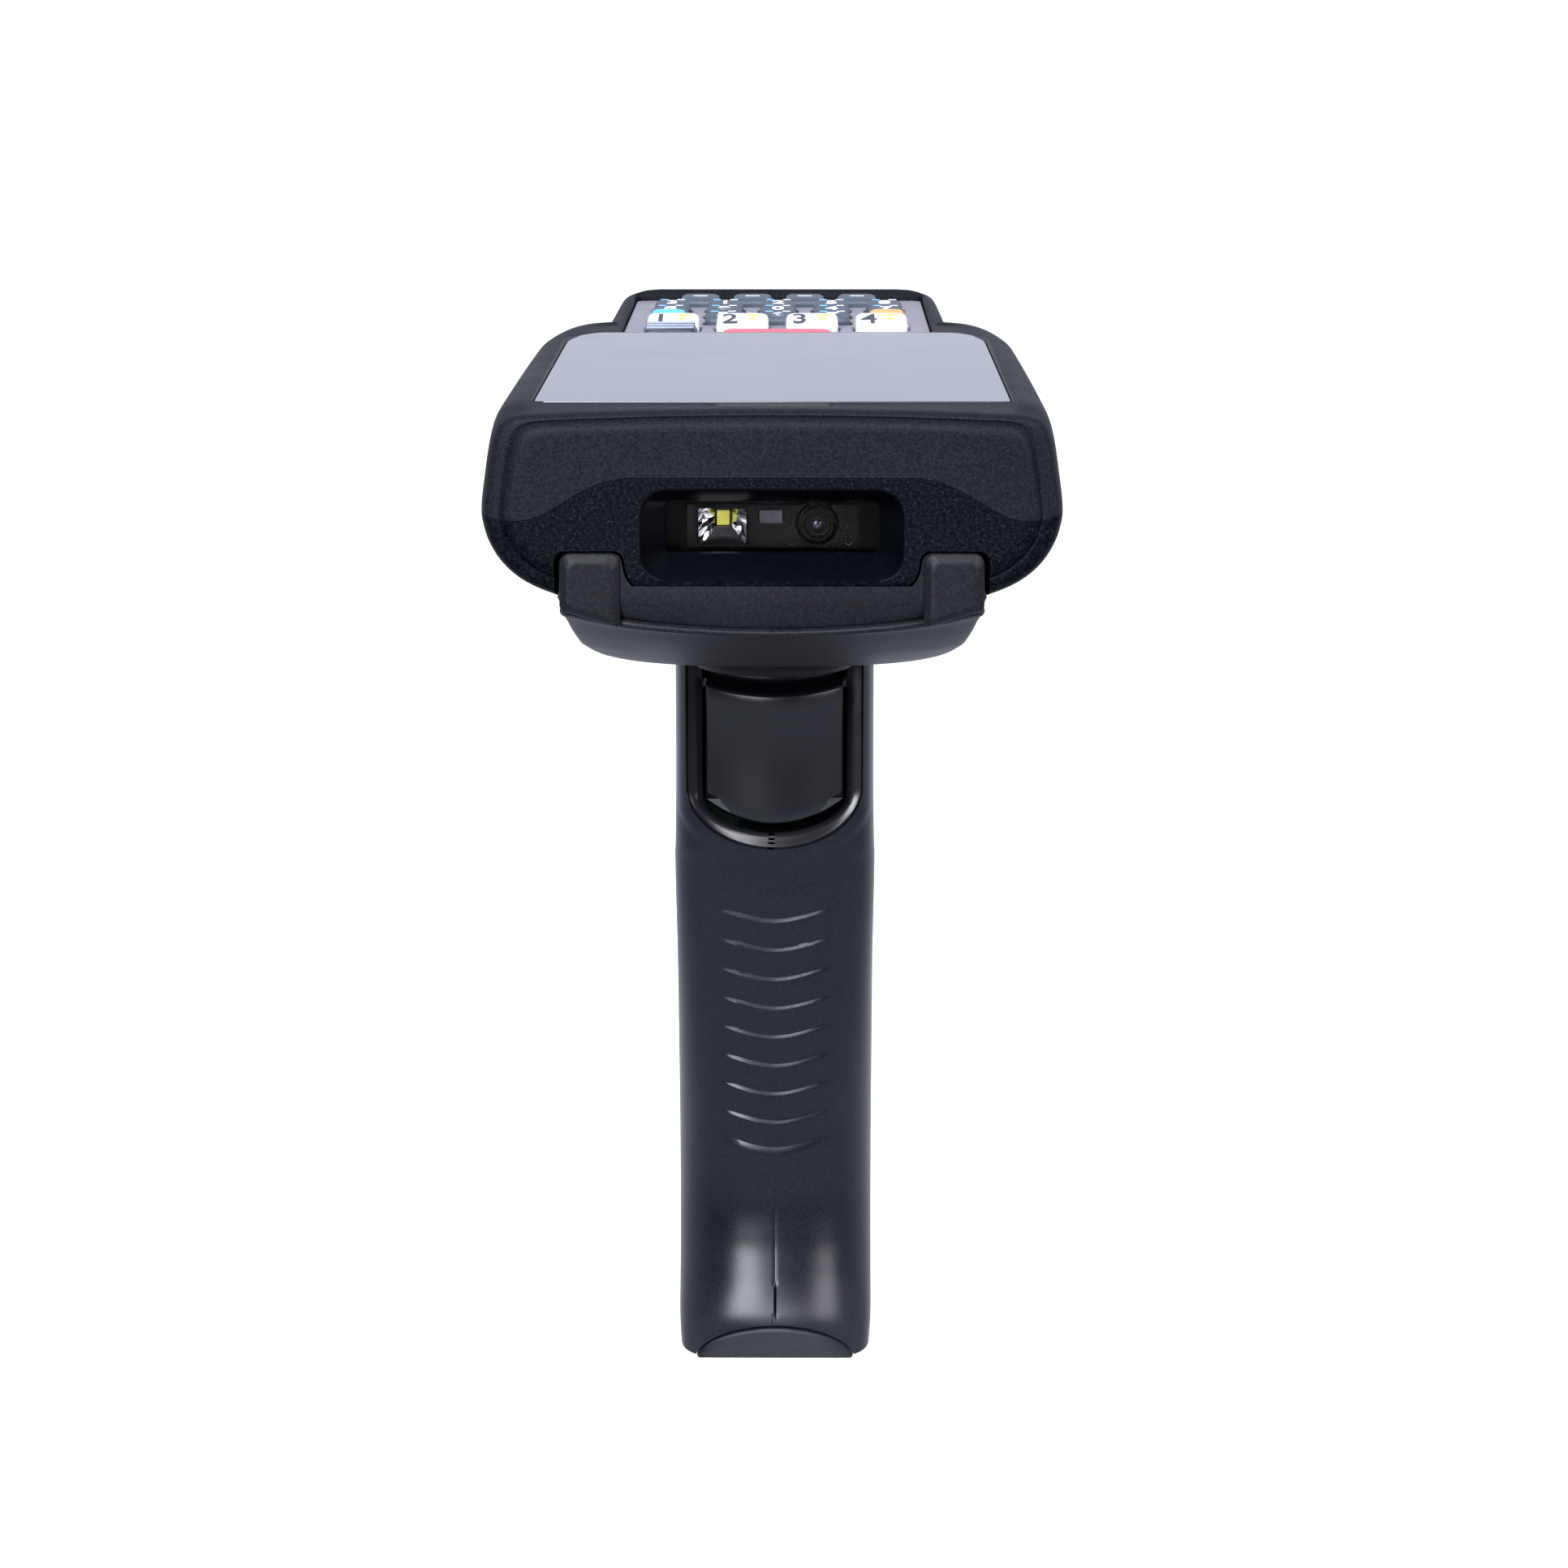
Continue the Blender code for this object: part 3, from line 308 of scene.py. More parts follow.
def make_materials():
    m = {}
    m["cap"] = moulded("housing_top", (0.0040, 0.0045, 0.0066), 0.55, 0.16, 0.04, 0.4,
                       (0.03, 0.036, 0.048), specular=0.08, mottle=0.6)
    m["lower"] = moulded("housing_bottom", (0.0012, 0.0016, 0.0030), 0.50, 0.26, 0.06, 1.0,
                         (0.022, 0.027, 0.045), specular=0.04, mottle=0.9)
    m["inside"] = moulded("housing_inside", (0.012, 0.012, 0.014), 0.6, 0.5, 0.01, specular=0.3)
    m["mouth"] = moulded("mouth_plastic", (0.0006, 0.0009, 0.0016), 0.34, 0.6, 0.01, specular=0.05)
    m["cradle"] = moulded("cradle_plastic", (0.0040, 0.0044, 0.0060), 0.44, 0.20, 0.02, 0.3,
                          (0.035, 0.042, 0.056), specular=0.14, mottle=0.4)
    m["grip"] = moulded("grip_soft", (0.0036, 0.0048, 0.0074), 0.30, 0.16, 0.008, specular=0.30, mottle=0.5)
    m["trigger"] = moulded("trigger_satin", (0.0035, 0.004, 0.006), 0.34, 0.16, 0.004, specular=0.40)
    # painted light: the lip band's colour is lighter than the grip's own plastic, standing for light the lamps leave
    # off this shaded band; its gloss is real
    m["lip"] = moulded("lip_gloss_painted_light", (0.007, 0.0075, 0.010), 0.26, 0.3, 0.006, specular=0.45)
    m["foot"] = moulded("foot_rubber", (0.014, 0.015, 0.018), 0.55, 0.4, 0.03, specular=0.25)
    m["battery"] = moulded("battery_case", (0.014, 0.015, 0.018), 0.52, 0.5, 0.08, 0.2,
                           (0.07, 0.08, 0.10), specular=0.4)
    m["plate"] = moulded("keypad_plate", (0.17, 0.165, 0.19), 0.55, 0.4, 0.02, specular=0.3)
    m["key_grey"] = moulded("key_grey", (0.040, 0.052, 0.068), 0.50, 0.3, 0.006, specular=0.3)
    # painted highlight: a light grey-blue for the power key's ribs, standing for their lit top edges
    m["rib_painted_highlight"] = moulded("rib_painted_highlight", (0.20, 0.24, 0.30), 0.50, 0.3, 0.006, specular=0.3)
    m["key_white"] = moulded("key_white", (0.50, 0.55, 0.63), 0.42, 0.3, 0.006, vary=0.03, mottle=0.02)
    m["key_blue"] = moulded("key_blue", (0.05, 0.36, 0.78), 0.4, 0.3, 0.006, vary=0.04, mottle=0.04)
    m["key_orange"] = moulded("key_orange", (0.85, 0.26, 0.07), 0.4, 0.3, 0.006, vary=0.04, mottle=0.04)
    m["key_red"] = moulded("key_red", (0.48, 0.04, 0.08), 0.36, 0.3, 0.006, vary=0.05)
    m["legend_dark"] = moulded("legend_dark", (0.02, 0.02, 0.025), 0.5, 0.3, 0.002)
    m["legend_light"] = moulded("legend_light", (0.62, 0.68, 0.76), 0.5, 0.3, 0.002)
    m["legend_orange"] = moulded("legend_orange", (0.88, 0.36, 0.08), 0.5, 0.3, 0.002)
    m["legend_blue"] = moulded("legend_blue", (0.15, 0.45, 0.85), 0.5, 0.3, 0.002)
    m["silicone"] = moulded("silicone", (0.05, 0.05, 0.055), 0.65, 0.4, 0.01)
    m["optics"] = moulded("optics_black", (0.0009, 0.0009, 0.0012), 0.35, 0.5, 0.006, specular=0.07)
    m["side_key"] = moulded("side_key", (0.022, 0.023, 0.028), 0.38, 0.35, 0.01)
    m["board"] = moulded("board_green", (0.015, 0.10, 0.05), 0.45, 0.8, 0.01)
    m["glass"] = display_material()
    m["screen"] = moulded("screen_black", (0.012, 0.012, 0.016), 0.25, 0.2, 0.001, vary=0.2)
    m["steel"] = metal("steel", (0.45, 0.46, 0.48), 0.32)
    m["dark_steel"] = metal("dark_steel", (0.10, 0.10, 0.11), 0.35)
    m["gold"] = metal("contact_gold", (0.80, 0.56, 0.20), 0.28)
    m["chrome"] = metal("reflector", (0.80, 0.80, 0.84), 0.10)
    m["phosphor"] = phosphor_material()
    m["clear"] = clear_material("clear_pane", 0.02)
    m["lens"] = moulded("lens_dark", (0.010, 0.009, 0.016), 0.14, 0.9, 0.001, specular=0.35)
    return m


def uneven_gloss(tree, shader, scale, detail, low, high):
    tree.links.new(ramp(tree, noise(tree, scale, detail), low, high), shader.inputs["Roughness"])

def metal(name, colour, roughness):
    mat, tree, shader = new_material(name, colour, roughness, 1.0)
    uneven_gloss(tree, shader, 900.0, 2.0, roughness - 0.08, roughness + 0.08)
    return mat

def display_material():
    """Cover glass over a dark screen, its gloss a little uneven."""
    mat, tree, shader = new_material("display_glass", (0.018, 0.019, 0.026), 0.10, 0.0, 0.5)
    shader.inputs["IOR"].default_value = 1.62
    uneven_gloss(tree, shader, 60.0, 3.0, 0.09, 0.16)
    return mat

def phosphor_material():
    """The light's yellow chip, faintly bright of itself."""
    mat = moulded("phosphor", (0.30, 0.28, 0.025), 0.5, 0.2, 0.004, vary=0.15)
    shader = mat.node_tree.nodes["Principled BSDF"]
    shader.inputs["Emission Color"].default_value = (0.40, 0.38, 0.03, 1)
    shader.inputs["Emission Strength"].default_value = 0.05
    return mat

def clear_material(name, roughness):
    mat, tree, shader = new_material(name, (1, 1, 1), roughness)
    shader.inputs["Transmission Weight"].default_value = 1.0
    shader.inputs["IOR"].default_value = 1.1
    uneven_gloss(tree, shader, 140.0, 3.0, roughness * 0.5, roughness * 1.8)
    return mat

M = make_materials()

# ------------------------------------------------------------------ terminal shells
SPLIT, DEEP = 14.8, 28.0  # depths of the widest point and of the underside, under the glass
SECTION = [  # (distance in from the side, depth)
    (7.4, 0.1), (5.6, -0.35), (3.7, 0.1), (2.4, 1.1), (1.5, 3.4), (0.6, 9.0), (0, 14.8),
    (0.5, 17.6), (1.5, 20.0), (3.4, 22.6), (6.2, 24.8), (9.8, 26.4), (14.0, 27.6), (18.0, 28.0),
]
PLAN = [  # (y, half width)
    (-104.5, 41.2), (-95, 41.2), (-3, 40.7), (20, 38.8), (26, 37.4), (28.8, 35.8), (30.4, 33.8),
    (31.4, 32.1), (33.5, 31.3), (60, 31.0), (92, 30.5), (97, 29.9), (101, 28.2), (103.6, 25.2),
    (104.9, 22.0), (105.4, 18.5),
]
NOSE_SECTION = [(7.4, 0.1), (5.6, 0.22), (3.7, 0.72), (2.4, 1.75), (1.5, 3.9)] + SECTION[5:]
NOSE_CROWN = 0.75
ENDS = [  # (y, narrowing, drop of the top, rise of the bottom)
    (-104.5, 5.4, 3.6, 4.6), (-104.42, 4.6, 2.9, 3.8), (-104.0, 3.8, 2.2, 3.0), (-103.45, 3.4, 1.85, 2.6),
    (-103.0, 3.1, 1.65, 2.3), (-103.12, 2.75, 1.45, 2.0), (-103.05, 2.2, 1.25, 1.5), (-102.7, 1.2, 1.0, 0.8),
    (-101.9, 0.6, 0.7, 0.4), (-99.5, 0.1, 0.5, 0), (-95.5, 0, 0.2, 0), (-91, 0, 0, 0), (-3, 0, 0, 0), (20, 0, 0, 0),
    (34, 0, 0, 0), (60, 0, -0.1, 0), (92, 0, -0.4, 0), (97, 0.1, -0.5, 0.2), (101, 0.3, -0.2, 0.8),
    (103.6, 0.8, 1.2, 2.2), (104.9, 1.5, 3.0, 3.8), (105.4, 2.5, 5.0, 6.0),
]
PARTING = [(0, 9.5), (19.5, 9.5), (22.7, 9.9), (25.6, 10.9), (28.4, 12.4), (31.2, 14.1), (33.6, 15.2), (36, 15.6),
           (38.2, 15.6), (41.2, 14.9), (60, 14.9)]


def half_width(y):
    return float(pchip([p[0] for p in PLAN], [p[1] for p in PLAN], y))


def terminal_ring(y, side, top, bottom, profile):
    """A cross-section; towards both ends the side ridges fade out, and the nose is slightly crowned."""
    half = half_width(y)
    narrow = (half - side) / half
    nose = float(ease(-95, -101.5, y))
    plainer = max(nose, float(ease(86, 97, y)))
    plain, crowned = profile

    def height(depth):
        if depth < SPLIT:
            return SPLIT - (SPLIT - depth) * (SPLIT - top) / SPLIT
        return SPLIT + (depth - SPLIT) * (DEEP - SPLIT - bottom) / (DEEP - SPLIT)
    start = (half - plain[0][0]) * narrow
    right = [(start * part, height(plain[0][1]) - NOSE_CROWN * nose * (1 - part**2)) for part in (0, 0.3, 0.55, 0.8)]
    for (inset, depth), (_, nose_depth) in zip(plain, crowned):
        right.append(((half - inset) * narrow, height(depth + (nose_depth - depth) * plainer)))
    outline = right + [(-x, d) for x, d in reversed(right[1:])]
    return [(x, y, TOP - d) for x, d in outline]


def section_profile(step, least):
    """The ordinary section and the nose's, with matching points."""
    both = [(*a, *b) for a, b in zip(SECTION, NOSE_SECTION)]
    rows = refine(both, step, least)
    return [(r[0], r[1]) for r in rows], [(r[2], r[3]) for r in rows]


def terminal_solid(name, material):
    profile = section_profile(1.0, 4)
    rows = []
    fine = refine(ENDS, 1.1, 3)
    for row in fine:
        if rows and -90 < row[0] < -4 and row[0] - rows[-1][0] < 9:
            continue
        if rows and 36 < row[0] < 90 and row[0] - rows[-1][0] < 6:
            continue
        rows.append(row)
    return loft(name, [terminal_ring(*row, profile) for row in rows], material)


def terminal_hollow(wall=2.2, front=-98.0, rear=102.3):
    profile = section_profile(4.0, 1)
    rings = []
    for y in (front, -3, 18, 23.5, 26.5, 28.5, 29.5, 31.5, 60, 92, 97, 100, rear):
        source = {23.5: 26, 26.5: 28.8, 28.5: 30.4, 29.5: 31.4, 31.5: 33.5}.get(y, y)
        rings.append([(x, y, z) for x, _, z in terminal_ring(source, wall, wall, wall, profile)])
    return loft("hollow", rings, M["inside"])


def parting(above, offset):
    line = [(x, TOP - d + offset) for x, d in refine(PARTING, 0.7, 2)]
    line = [(-x, z) for x, z in line[:0:-1]] + line
    far = TOP + (30 if above else -60)
    return prism("parting", line + [(line[-1][0], far), (line[0][0], far)], "Y", -120, 120, M["inside"])


def glass_outline(grow=0.0):
    half, front, rear = 34 + grow, -92.4 - grow, 14.8 + grow
    right = [
        (half - 1.4, front), (half - 0.4, front + 0.4), (half, front + 1.4), (half, rear - 15.5),
        (half - 0.15, rear - 13.2), (half - 1.5, rear - 5.0), (half - 3.6, rear - 1.0),
        (half - 4.4, rear - 0.25), (half - 5.2, rear),
    ]
    return right + [(-x, y) for x, y in reversed(right)]


def stacked(name, outline_of, levels, material=None):
    """A loft of outlines in plan: levels are (z, grow)."""
    return loft(name, [[(x, y, z) for x, y in outline_of(grow)] for z, grow in levels], material)


def scan_mouth():
    outer, inner = TOP - 17.65, TOP - 17.0
    rings = []
    for half_x, half_z, radius, centre, y in (
        (20.3, 8.5, 4.4, outer, NOSE - 1.0), (18.7, 6.8, 3.9, outer, NOSE - 0.03),
        (18.5, 6.5, 3.7, outer, NOSE + 0.08), (18.3, 6.25, 3.5, outer, NOSE + 0.4),
        (17.5, 5.35, 2.6, TOP - 17.45, NOSE + 1.7), (15.6, 4.05, 1.3, TOP - 17.08, NOSE + 4.0),
        (15.25, 3.75, 1.0, inner, NOSE + 4.5), (15.2, 3.7, 0.9, inner, -96.0),
    ):
        rings.append([(x, y, z) for x, z in rounded(half_x, half_z, radius, 8, (0, centre))])
    return loft("scan_mouth", rings, M["mouth"])


NOTCH = [  # seat of a cradle hook in the nose: (x, depth)
    (16.2, 34), (16.2, 25.9), (18.4, 25.3), (19.9, 24.0), (20.6, 22.5), (20.8, 21.3), (21.2, 20.3),
    (22.2, 19.8), (29.3, 19.8), (30.3, 20.3), (30.7, 21.3), (30.7, 34),
]


def top_shell():
    shell = terminal_solid("top_shell", M["cap"])
    pocket = stacked("pocket", glass_outline,
                     [(TOP - 1.4, 0.22), (TOP - 0.15, 0.22), (TOP + 0.05, 0.4), (TOP + 5, 5.0)], M["inside"])
    screen = block("screen_hole", (-31, -90.5, TOP - 6), (31, 12.4, TOP + 1), M["inside"], 0)

    def recess(grow):
        return rounded(26.3 + grow, 39.3 + grow, 2.2 + grow, 8, (0, 55.9))
    keypad = stacked("recess", recess,
                     [(TOP - 6, 0), (TOP - 0.75, 0), (TOP - 0.1, 0.5), (TOP + 0.4, 1.2), (TOP + 5, 1.2)], M["cap"])
    ear = stacked("ear", lambda g: rounded(8.6 + g, 1.2 + g, 1.1 + g, 8, (0, -94.5)),
                  [(TOP - 1.9, 0), (TOP - 1.2, 0), (TOP - 0.4, 0.25), (TOP + 3, 0.25)], M["inside"])
    side_slots = []
    for side in (-1, 1):
        rings = [[(side * x, y, z) for y, z in rounded(11.3 + g, 3.0 + g, 1.3 + g, 5, (-35, TOP - 9.7))]
                 for x, g in ((36, 0), (40.3, 0), (41.5, 0.6), (44, 0.6))]
        side_slots.append(loft("side_slot", rings, M["cap"]))
    carve(shell, terminal_hollow(), parting(False, 0.06), pocket, screen, keypad, ear, *side_slots, smooth_deg=32)
    weighted(shell)
    return place(shell, "terminal", "housing", "top_housing")


def bottom_shell():
    shell = terminal_solid("bottom_shell", M["lower"])
    boss = block("boss", (-11, 24, TOP - 27), (11, 41, TOP - 22), M["inside"], 0)
    carve(shell, terminal_hollow(), parting(True, -0.06))
    carve(shell, boss, operation="UNION")
    cutters = [scan_mouth()]
    cutters.append(block("pocket", (-7, 30, TOP - 30), (7, 37.5, TOP - 24.2), M["inside"], 0))
    cutters.append(block("undercut", (-7, 27.4, TOP - 26.2), (7, 31, TOP - 24.2), M["inside"], 0))
    cutters.append(prism("bay", rounded(22.3, 23.8, 1.2, 4, (0, 73.5)), "Z", TOP - 40, TOP - SPLIT, M["inside"]))
    cutters.append(block("latch_slot", (-8.3, 43, TOP - 40), (8.3, 50.4, TOP - 24), M["inside"], 0))
    cutters.append(prism("dock", rounded(10.3, 3.3, 1.0, 4, (0, TOP - 20.5)), "Y", 96, 108, M["inside"]))
    for side in (-1, 1):
        notch = refine(NOTCH, 0.6, 1)
        cutters.append(prism("notch", [(side * x, TOP - d) for x, d in notch], "Y", NOSE - 3, NOSE + 4, M["lower"]))
    carve(shell, *cutters, smooth_deg=32)
    weighted(shell)
    return place(shell, "terminal", "housing", "bottom_housing")


def terminal():
    top_shell()
    bottom_shell()
    levels = [(TOP - 1.1, -0.05), (TOP - 0.12, -0.02), (TOP - 0.03, -0.08), (TOP, -0.22)]
    glass = stacked("cover_glass", glass_outline, levels, M["glass"])
    shade(glass, 5)
    place(glass, "terminal", "display_glass", "display_window")
    earpiece()


EAR_Y = -94.5  # middle of the earpiece's slot

def earpiece():
    """The earpiece's grille with its two rows of holes, a port and three small lights."""
    grille = prism("ear_grille", rounded(8.45, 1.05, 1.0, 8, (0, EAR_Y)), "Z", TOP - 1.75, TOP - 1.3, M["optics"])
    holes = []
    for i in range(14):
        centre = (-3.6 + 0.62 * i, EAR_Y + 0.3 * (i % 2 * 2 - 1), TOP - 1.2)
        holes.append(turned("hole", centre, "Z", [(0.17, -0.4), (0.17, 0.4)], M["optics"], 8))
    carve(grille, *holes)
    place(grille, "terminal", "grille", "earpiece_grille")
    for name, x, half_a, half_b, mat in (
        ("ear_light_1", 5.0, 0.6, 0.45, "dark_steel"), ("ear_light_2", 6.5, 0.35, 0.35, "lens"),
        ("ear_light_3", 7.6, 0.4, 0.4, "dark_steel"), ("ear_port", -6.9, 0.75, 0.35, "lens"),
    ):
        outline = rounded(half_a, half_b, min(half_a, half_b) * 0.95, 6, (x, EAR_Y))
        dot = prism(name, outline, "Z", TOP - 1.3, TOP - 1.05, M[mat])
        place(dot, "terminal", "optics_black")

# ------------------------------------------------------------------ scan engine
def scanner():
    z = TOP - 17.6
    pane = prism("scan_pane", rounded(16.1, 4.7, 1.0, 5, (0, TOP - 17.0)), "Y", -97.6, -97.0, M["clear"])
    place(pane, "terminal", "clear_lens", "scan_window")
    engine = block("engine_block", (-12.4, -94.4, z - 3.4), (12.6, -82, z + 3.3), M["optics"], 0.35)
    wells = [
        prism("well", rounded(3.7, 3.0, 0.4, 4, (-7.1, z + 0.15)), "Y", -98, -93.2, M["optics"]),
        prism("well", rounded(1.9, 1.15, 0.2, 4, (-0.2, z + 1.45)), "Y", -98, -93.4, M["optics"]),
        turned("well", (6.4, -94.4, z + 0.4), "Y", [(3.1, -2), (3.1, 0.0), (2.7, 0.9)], M["optics"], 40),
        turned("well", (2.6, -94.4, z - 2.2), "Y", [(0.55, -2), (0.55, 0.5)], M["optics"], 20),
        turned("well", (10.9, -94.4, z - 2.2), "Y", [(0.5, -2), (0.5, 0.5)], M["optics"], 20),
    ]
    carve(engine, *wells)
    place(engine, "terminal", "optics_black", "scan_engine")
    facets(z)
    led = block("led_chip", (-7.9, -93.9, z + 0.1), (-6.1, -93.4, z + 2.2), M["phosphor"], 0.05, 1)
    place(led, "terminal", "phosphor", "illumination_led")
    aim = prism("aimer_pane", rounded(1.6, 0.9, 0.15, 3, (-0.2, z + 1.45)), "Y", -94.9, -94.3, M["lens"])
    place(aim, "terminal", "clear_lens", "aimer_lens")
    barrel_profile = [
        (2.0, 2.0), (2.45, 1.8), (2.45, 0.15), (2.3, 0.0), (2.0, 0.0), (1.75, 0.35), (1.45, 0.4), (1.35, 0.2),
        (1.1, 0.2), (0.95, 0.6), (0.6, 0.62),
    ]
    barrel = turned("imager_barrel", (6.4, -95.9, z + 0.4), "Y", barrel_profile, M["optics"], 48)
    place(barrel, "terminal", "lens_glass", "imager_lens")
    eye_profile = [(0.85, 0.35), (0.8, 0.16), (0.62, 0.02), (0.35, -0.08), (0.1, -0.11)]
    eye = turned("imager_eye", (6.4, -95.5, z + 0.4), "Y", eye_profile, M["lens"], 32)
    place(eye, "terminal", "lens_glass")


def facets(z):
    """The light's faceted reflector: a frame of small mirrors, leaning in to the square chip."""
    low_x, high_x, low_z, high_z = -10.5, -3.7, z - 2.5, z + 2.8
    chip = (-8.2, -5.8, z - 0.1, z + 2.4)
    verts, faces = [], []

    def quad(points):
        start = len(verts)
        verts.extend(points)
        faces.append(tuple(range(start, start + len(points))))

    def along(low, high, i, count):
        return low + (high - low) * i / count
    count = 5
    for side, (x_out, x_in) in enumerate(((low_x, chip[0]), (high_x, chip[1]))):
        for i in range(count):
            a, b = along(low_z, high_z, i, count), along(low_z, high_z, i + 1, count)
            c, d = along(chip[2], chip[3], i, count), along(chip[2], chip[3], i + 1, count)
            lean = 0.35 * math.sin(7.3 * i + 3 * side)
            middle = (x_out + x_in) / 2 + 0.3 * math.cos(5 * i + side)
            low, high = (middle, -95.2 + lean, (a + c) / 2), (middle, -95.3 - lean, (b + d) / 2)
            quad([(x_out, -96.0, a), low, high, (x_out, -96.0, b)])
            quad([low, (x_in, -93.8, c), (x_in, -93.8, d), high])
    for z_out, z_in in ((low_z, chip[2]), (high_z, chip[3])):
        for i in range(3):
            a, b = along(low_x, high_x, i, 3), along(low_x, high_x, i + 1, 3)
            c, d = along(chip[0], chip[1], i, 3), along(chip[0], chip[1], i + 1, 3)
            quad([(a, -96.0, z_out), (c, -93.8, z_in), (d, -93.8, z_in), (b, -96.0, z_out)])
    obj = mesh_object("light_facets", verts, faces, M["chrome"], 5)
    place(obj, "terminal", "clear_lens", "illumination_lens")


# ------------------------------------------------------------------ keypad
PLATE_Z = TOP - 1.5


def key_rows():
    """Every key: (name, centre x, centre y, width, depth, height over the plate, finish, mark)."""
    keys = [
        ("power_key", -17.9, 23.2, 9.1, 7.6, 1.9, "key_grey", ""),
        ("scan_key", 0.0, 23.2, 18.6, 8.0, 1.2, "key_red", ""),
    ]
    for i in range(4):
        keys.append((f"number_key_{i + 1}", 11.9 * (i - 1.5), 37.0, 8.95, 8.6, 2.6, "key_white", "1234"[i]))
    names = ("blue_function_key", "upper_key_1", "upper_key_2", "upper_key_3", "orange_function_key")
    looks = ("key_blue", "key_grey", "key_grey", "key_grey", "key_orange")
    for i, (name, look) in enumerate(zip(names, looks)):
        high = 2.4 if "function" in name else 1.9
        keys.append((name, 9.5 * (i - 2), 48.4, 6.2, 7.0, high, look, ("", "5", "6", "7", "")[i]))
    for row, y, marks in (("middle", 60.4, "89047"), ("lower", 72.6, "31258")):
        for i in range(5):
            keys.append((f"{row}_key_{i + 1}", 9.5 * (i - 2), y, 6.4, 8.0, 1.9, "key_grey", marks[i]))
    for i in range(4):
        keys.append((f"end_key_{i + 1}", 9.5 * (i - 1.5), 85.4, 7.2, 8.6, 1.9, "key_grey", ""))
    return keys


def keypad():
    """The plate with a hole for every key, and the keys."""
    plate = prism("keypad_face", rounded(26, 39.1, 2.0, 8, (0, 55.9)), "Z", PLATE_Z - 2, PLATE_Z, M["plate"])
    levels = [(PLATE_Z - 4, 0), (PLATE_Z - 0.25, 0), (PLATE_Z + 0.05, 0.3), (PLATE_Z + 2, 0.3)]
    holes = []
    for _, x, y, w, d, *_ in key_rows():
        def edge(grow):
            return rounded(w / 2 + 0.3 + grow, d / 2 + 0.3 + grow, 1.6 + grow, 5, (x, y))
        holes.append(stacked("hole", edge, levels, M["plate"]))
    carve(plate, *holes)
    weighted(plate)
    place(plate, "terminal", "keypad_plate", "keypad_plate")
    for key in key_rows():
        keycap(*key)

def keycap(name, x, y, w, d, h, look, mark):
    rise = 0.6 if look == "key_white" else 0.25

    def ring(inset, z, tilt=1.0):
        radius = max(0.5, 1.4 - inset * 0.35)
        outline = rounded(w / 2 - inset, d / 2 - inset, radius, 6, (x, y))
        return [(a, b, z + tilt * rise * (b - y) / (d / 2)) for a, b in outline]
    top = PLATE_Z + h - rise * 0.8
    rings = [ring(0, PLATE_Z - 1.9, 0), ring(0, PLATE_Z + h * 0.35, 0.3)]
    for inset, drop in ((0.06, 0.85), (0.2, 0.52), (0.42, 0.28), (0.75, 0.13), (1.2, 0.05), (1.9, 0.0)):
        rings.append(ring(inset, top - drop))
    cap = loft(f"{name}_cap", rings, M[look], 40)
    weighted(cap)
    place(cap, name, look, name)
    ride_marks(name, x, y, d, top, rise, look, mark)


def ride_marks(name, x, y, d, top, rise, look, mark):
    """A key's marks or ribs, lying on its slanted top; the power key's ribs are light bars over darker risers, painted
    highlights over painted shade.
    """
    slope = rise / (d / 2)

    def on_top(obj, px, py):
        at = Vector((px, py, top + (py - y) * slope + 0.015)) * 0.001
        obj.matrix_world = Matrix.Translation(at) @ Matrix.Rotation(math.atan(slope), 4, "X")

    def numeral(text, px, py, size, mat, narrow=1.0):
        curve = bpy.data.curves.new(f"{name}_mark", "FONT")
        curve.body = text
        curve.size = size * 0.001
        curve.extrude = 0.00001
        curve.offset = 0.00016
        curve.align_x, curve.align_y = "CENTER", "CENTER"
        made = bpy.data.objects.new("mark", curve)
        bpy.context.scene.collection.objects.link(made)
        bpy.context.view_layer.update()
        mesh = bpy.data.meshes.new_from_object(made.evaluated_get(bpy.context.evaluated_depsgraph_get()))
        bpy.data.objects.remove(made, do_unlink=True)
        mesh.materials.clear()
        mesh.materials.append(M[mat])
        mesh.transform(Matrix.Diagonal((narrow, 1, 1, 1)))
        obj = bpy.data.objects.new(f"{name}_mark", mesh)
        bpy.context.scene.collection.objects.link(obj)
        on_top(obj, px, py)
        place(obj, name, look)

    def bar(px, py, half_a, half_b, mat, tag):
        obj = prism(f"{name}_{tag}", rounded(half_a, half_b, min(half_a, half_b) * 0.6, 3), "Z", -0.01, 0.02, M[mat])
        on_top(obj, px, py)
        place(obj, name, look)
    if look == "key_white":
        numeral(mark, x - 2.1, y - 1.3, 9.2, "legend_dark", 0.6)
        bar(x + 1.9, y + 1.5, 1.1, 0.8, "legend_orange", "dash_1")
        bar(x + 1.6, y - 1.2, 0.6, 0.9, "legend_orange", "dash_2")
    elif look == "key_grey" and mark:
        numeral(mark, x, y - 0.6, 5.4, "legend_light", 0.8)
        bar(x - 1.5, y + 2.6, 0.7, 0.35, "legend_blue", "dash_1")
        bar(x + 1.5, y + 2.6, 0.7, 0.35, "legend_light", "dash_2")
    elif name == "power_key":
        # painted highlight and shadow: each rib is a light bar standing for its lit top edge, set on a riser in the
        # darker side_key colour as painted shade below it
        for i in range(3):
            foot, level = y - 3.0 + 2.1 * i, top + 0.25 + 0.22 * i
            low, high = (x - 4.1, foot, top - 0.5), (x + 4.1, foot + 1.7, level - 0.2)
            place(block(f"{name}_riser_painted_shade_{i}", low, high, M["side_key"], 0.1), name, look)
            low, high = (x - 4.0, foot - 0.05, level - 0.28), (x + 4.0, foot + 1.0, level)
            place(block(f"{name}_rib_{i}", low, high, M["rib_painted_highlight"], 0.12), name, look)
    elif name.startswith("end_key"):
        bar(x, y, 1.3, 0.3, "legend_light", "dash_1")


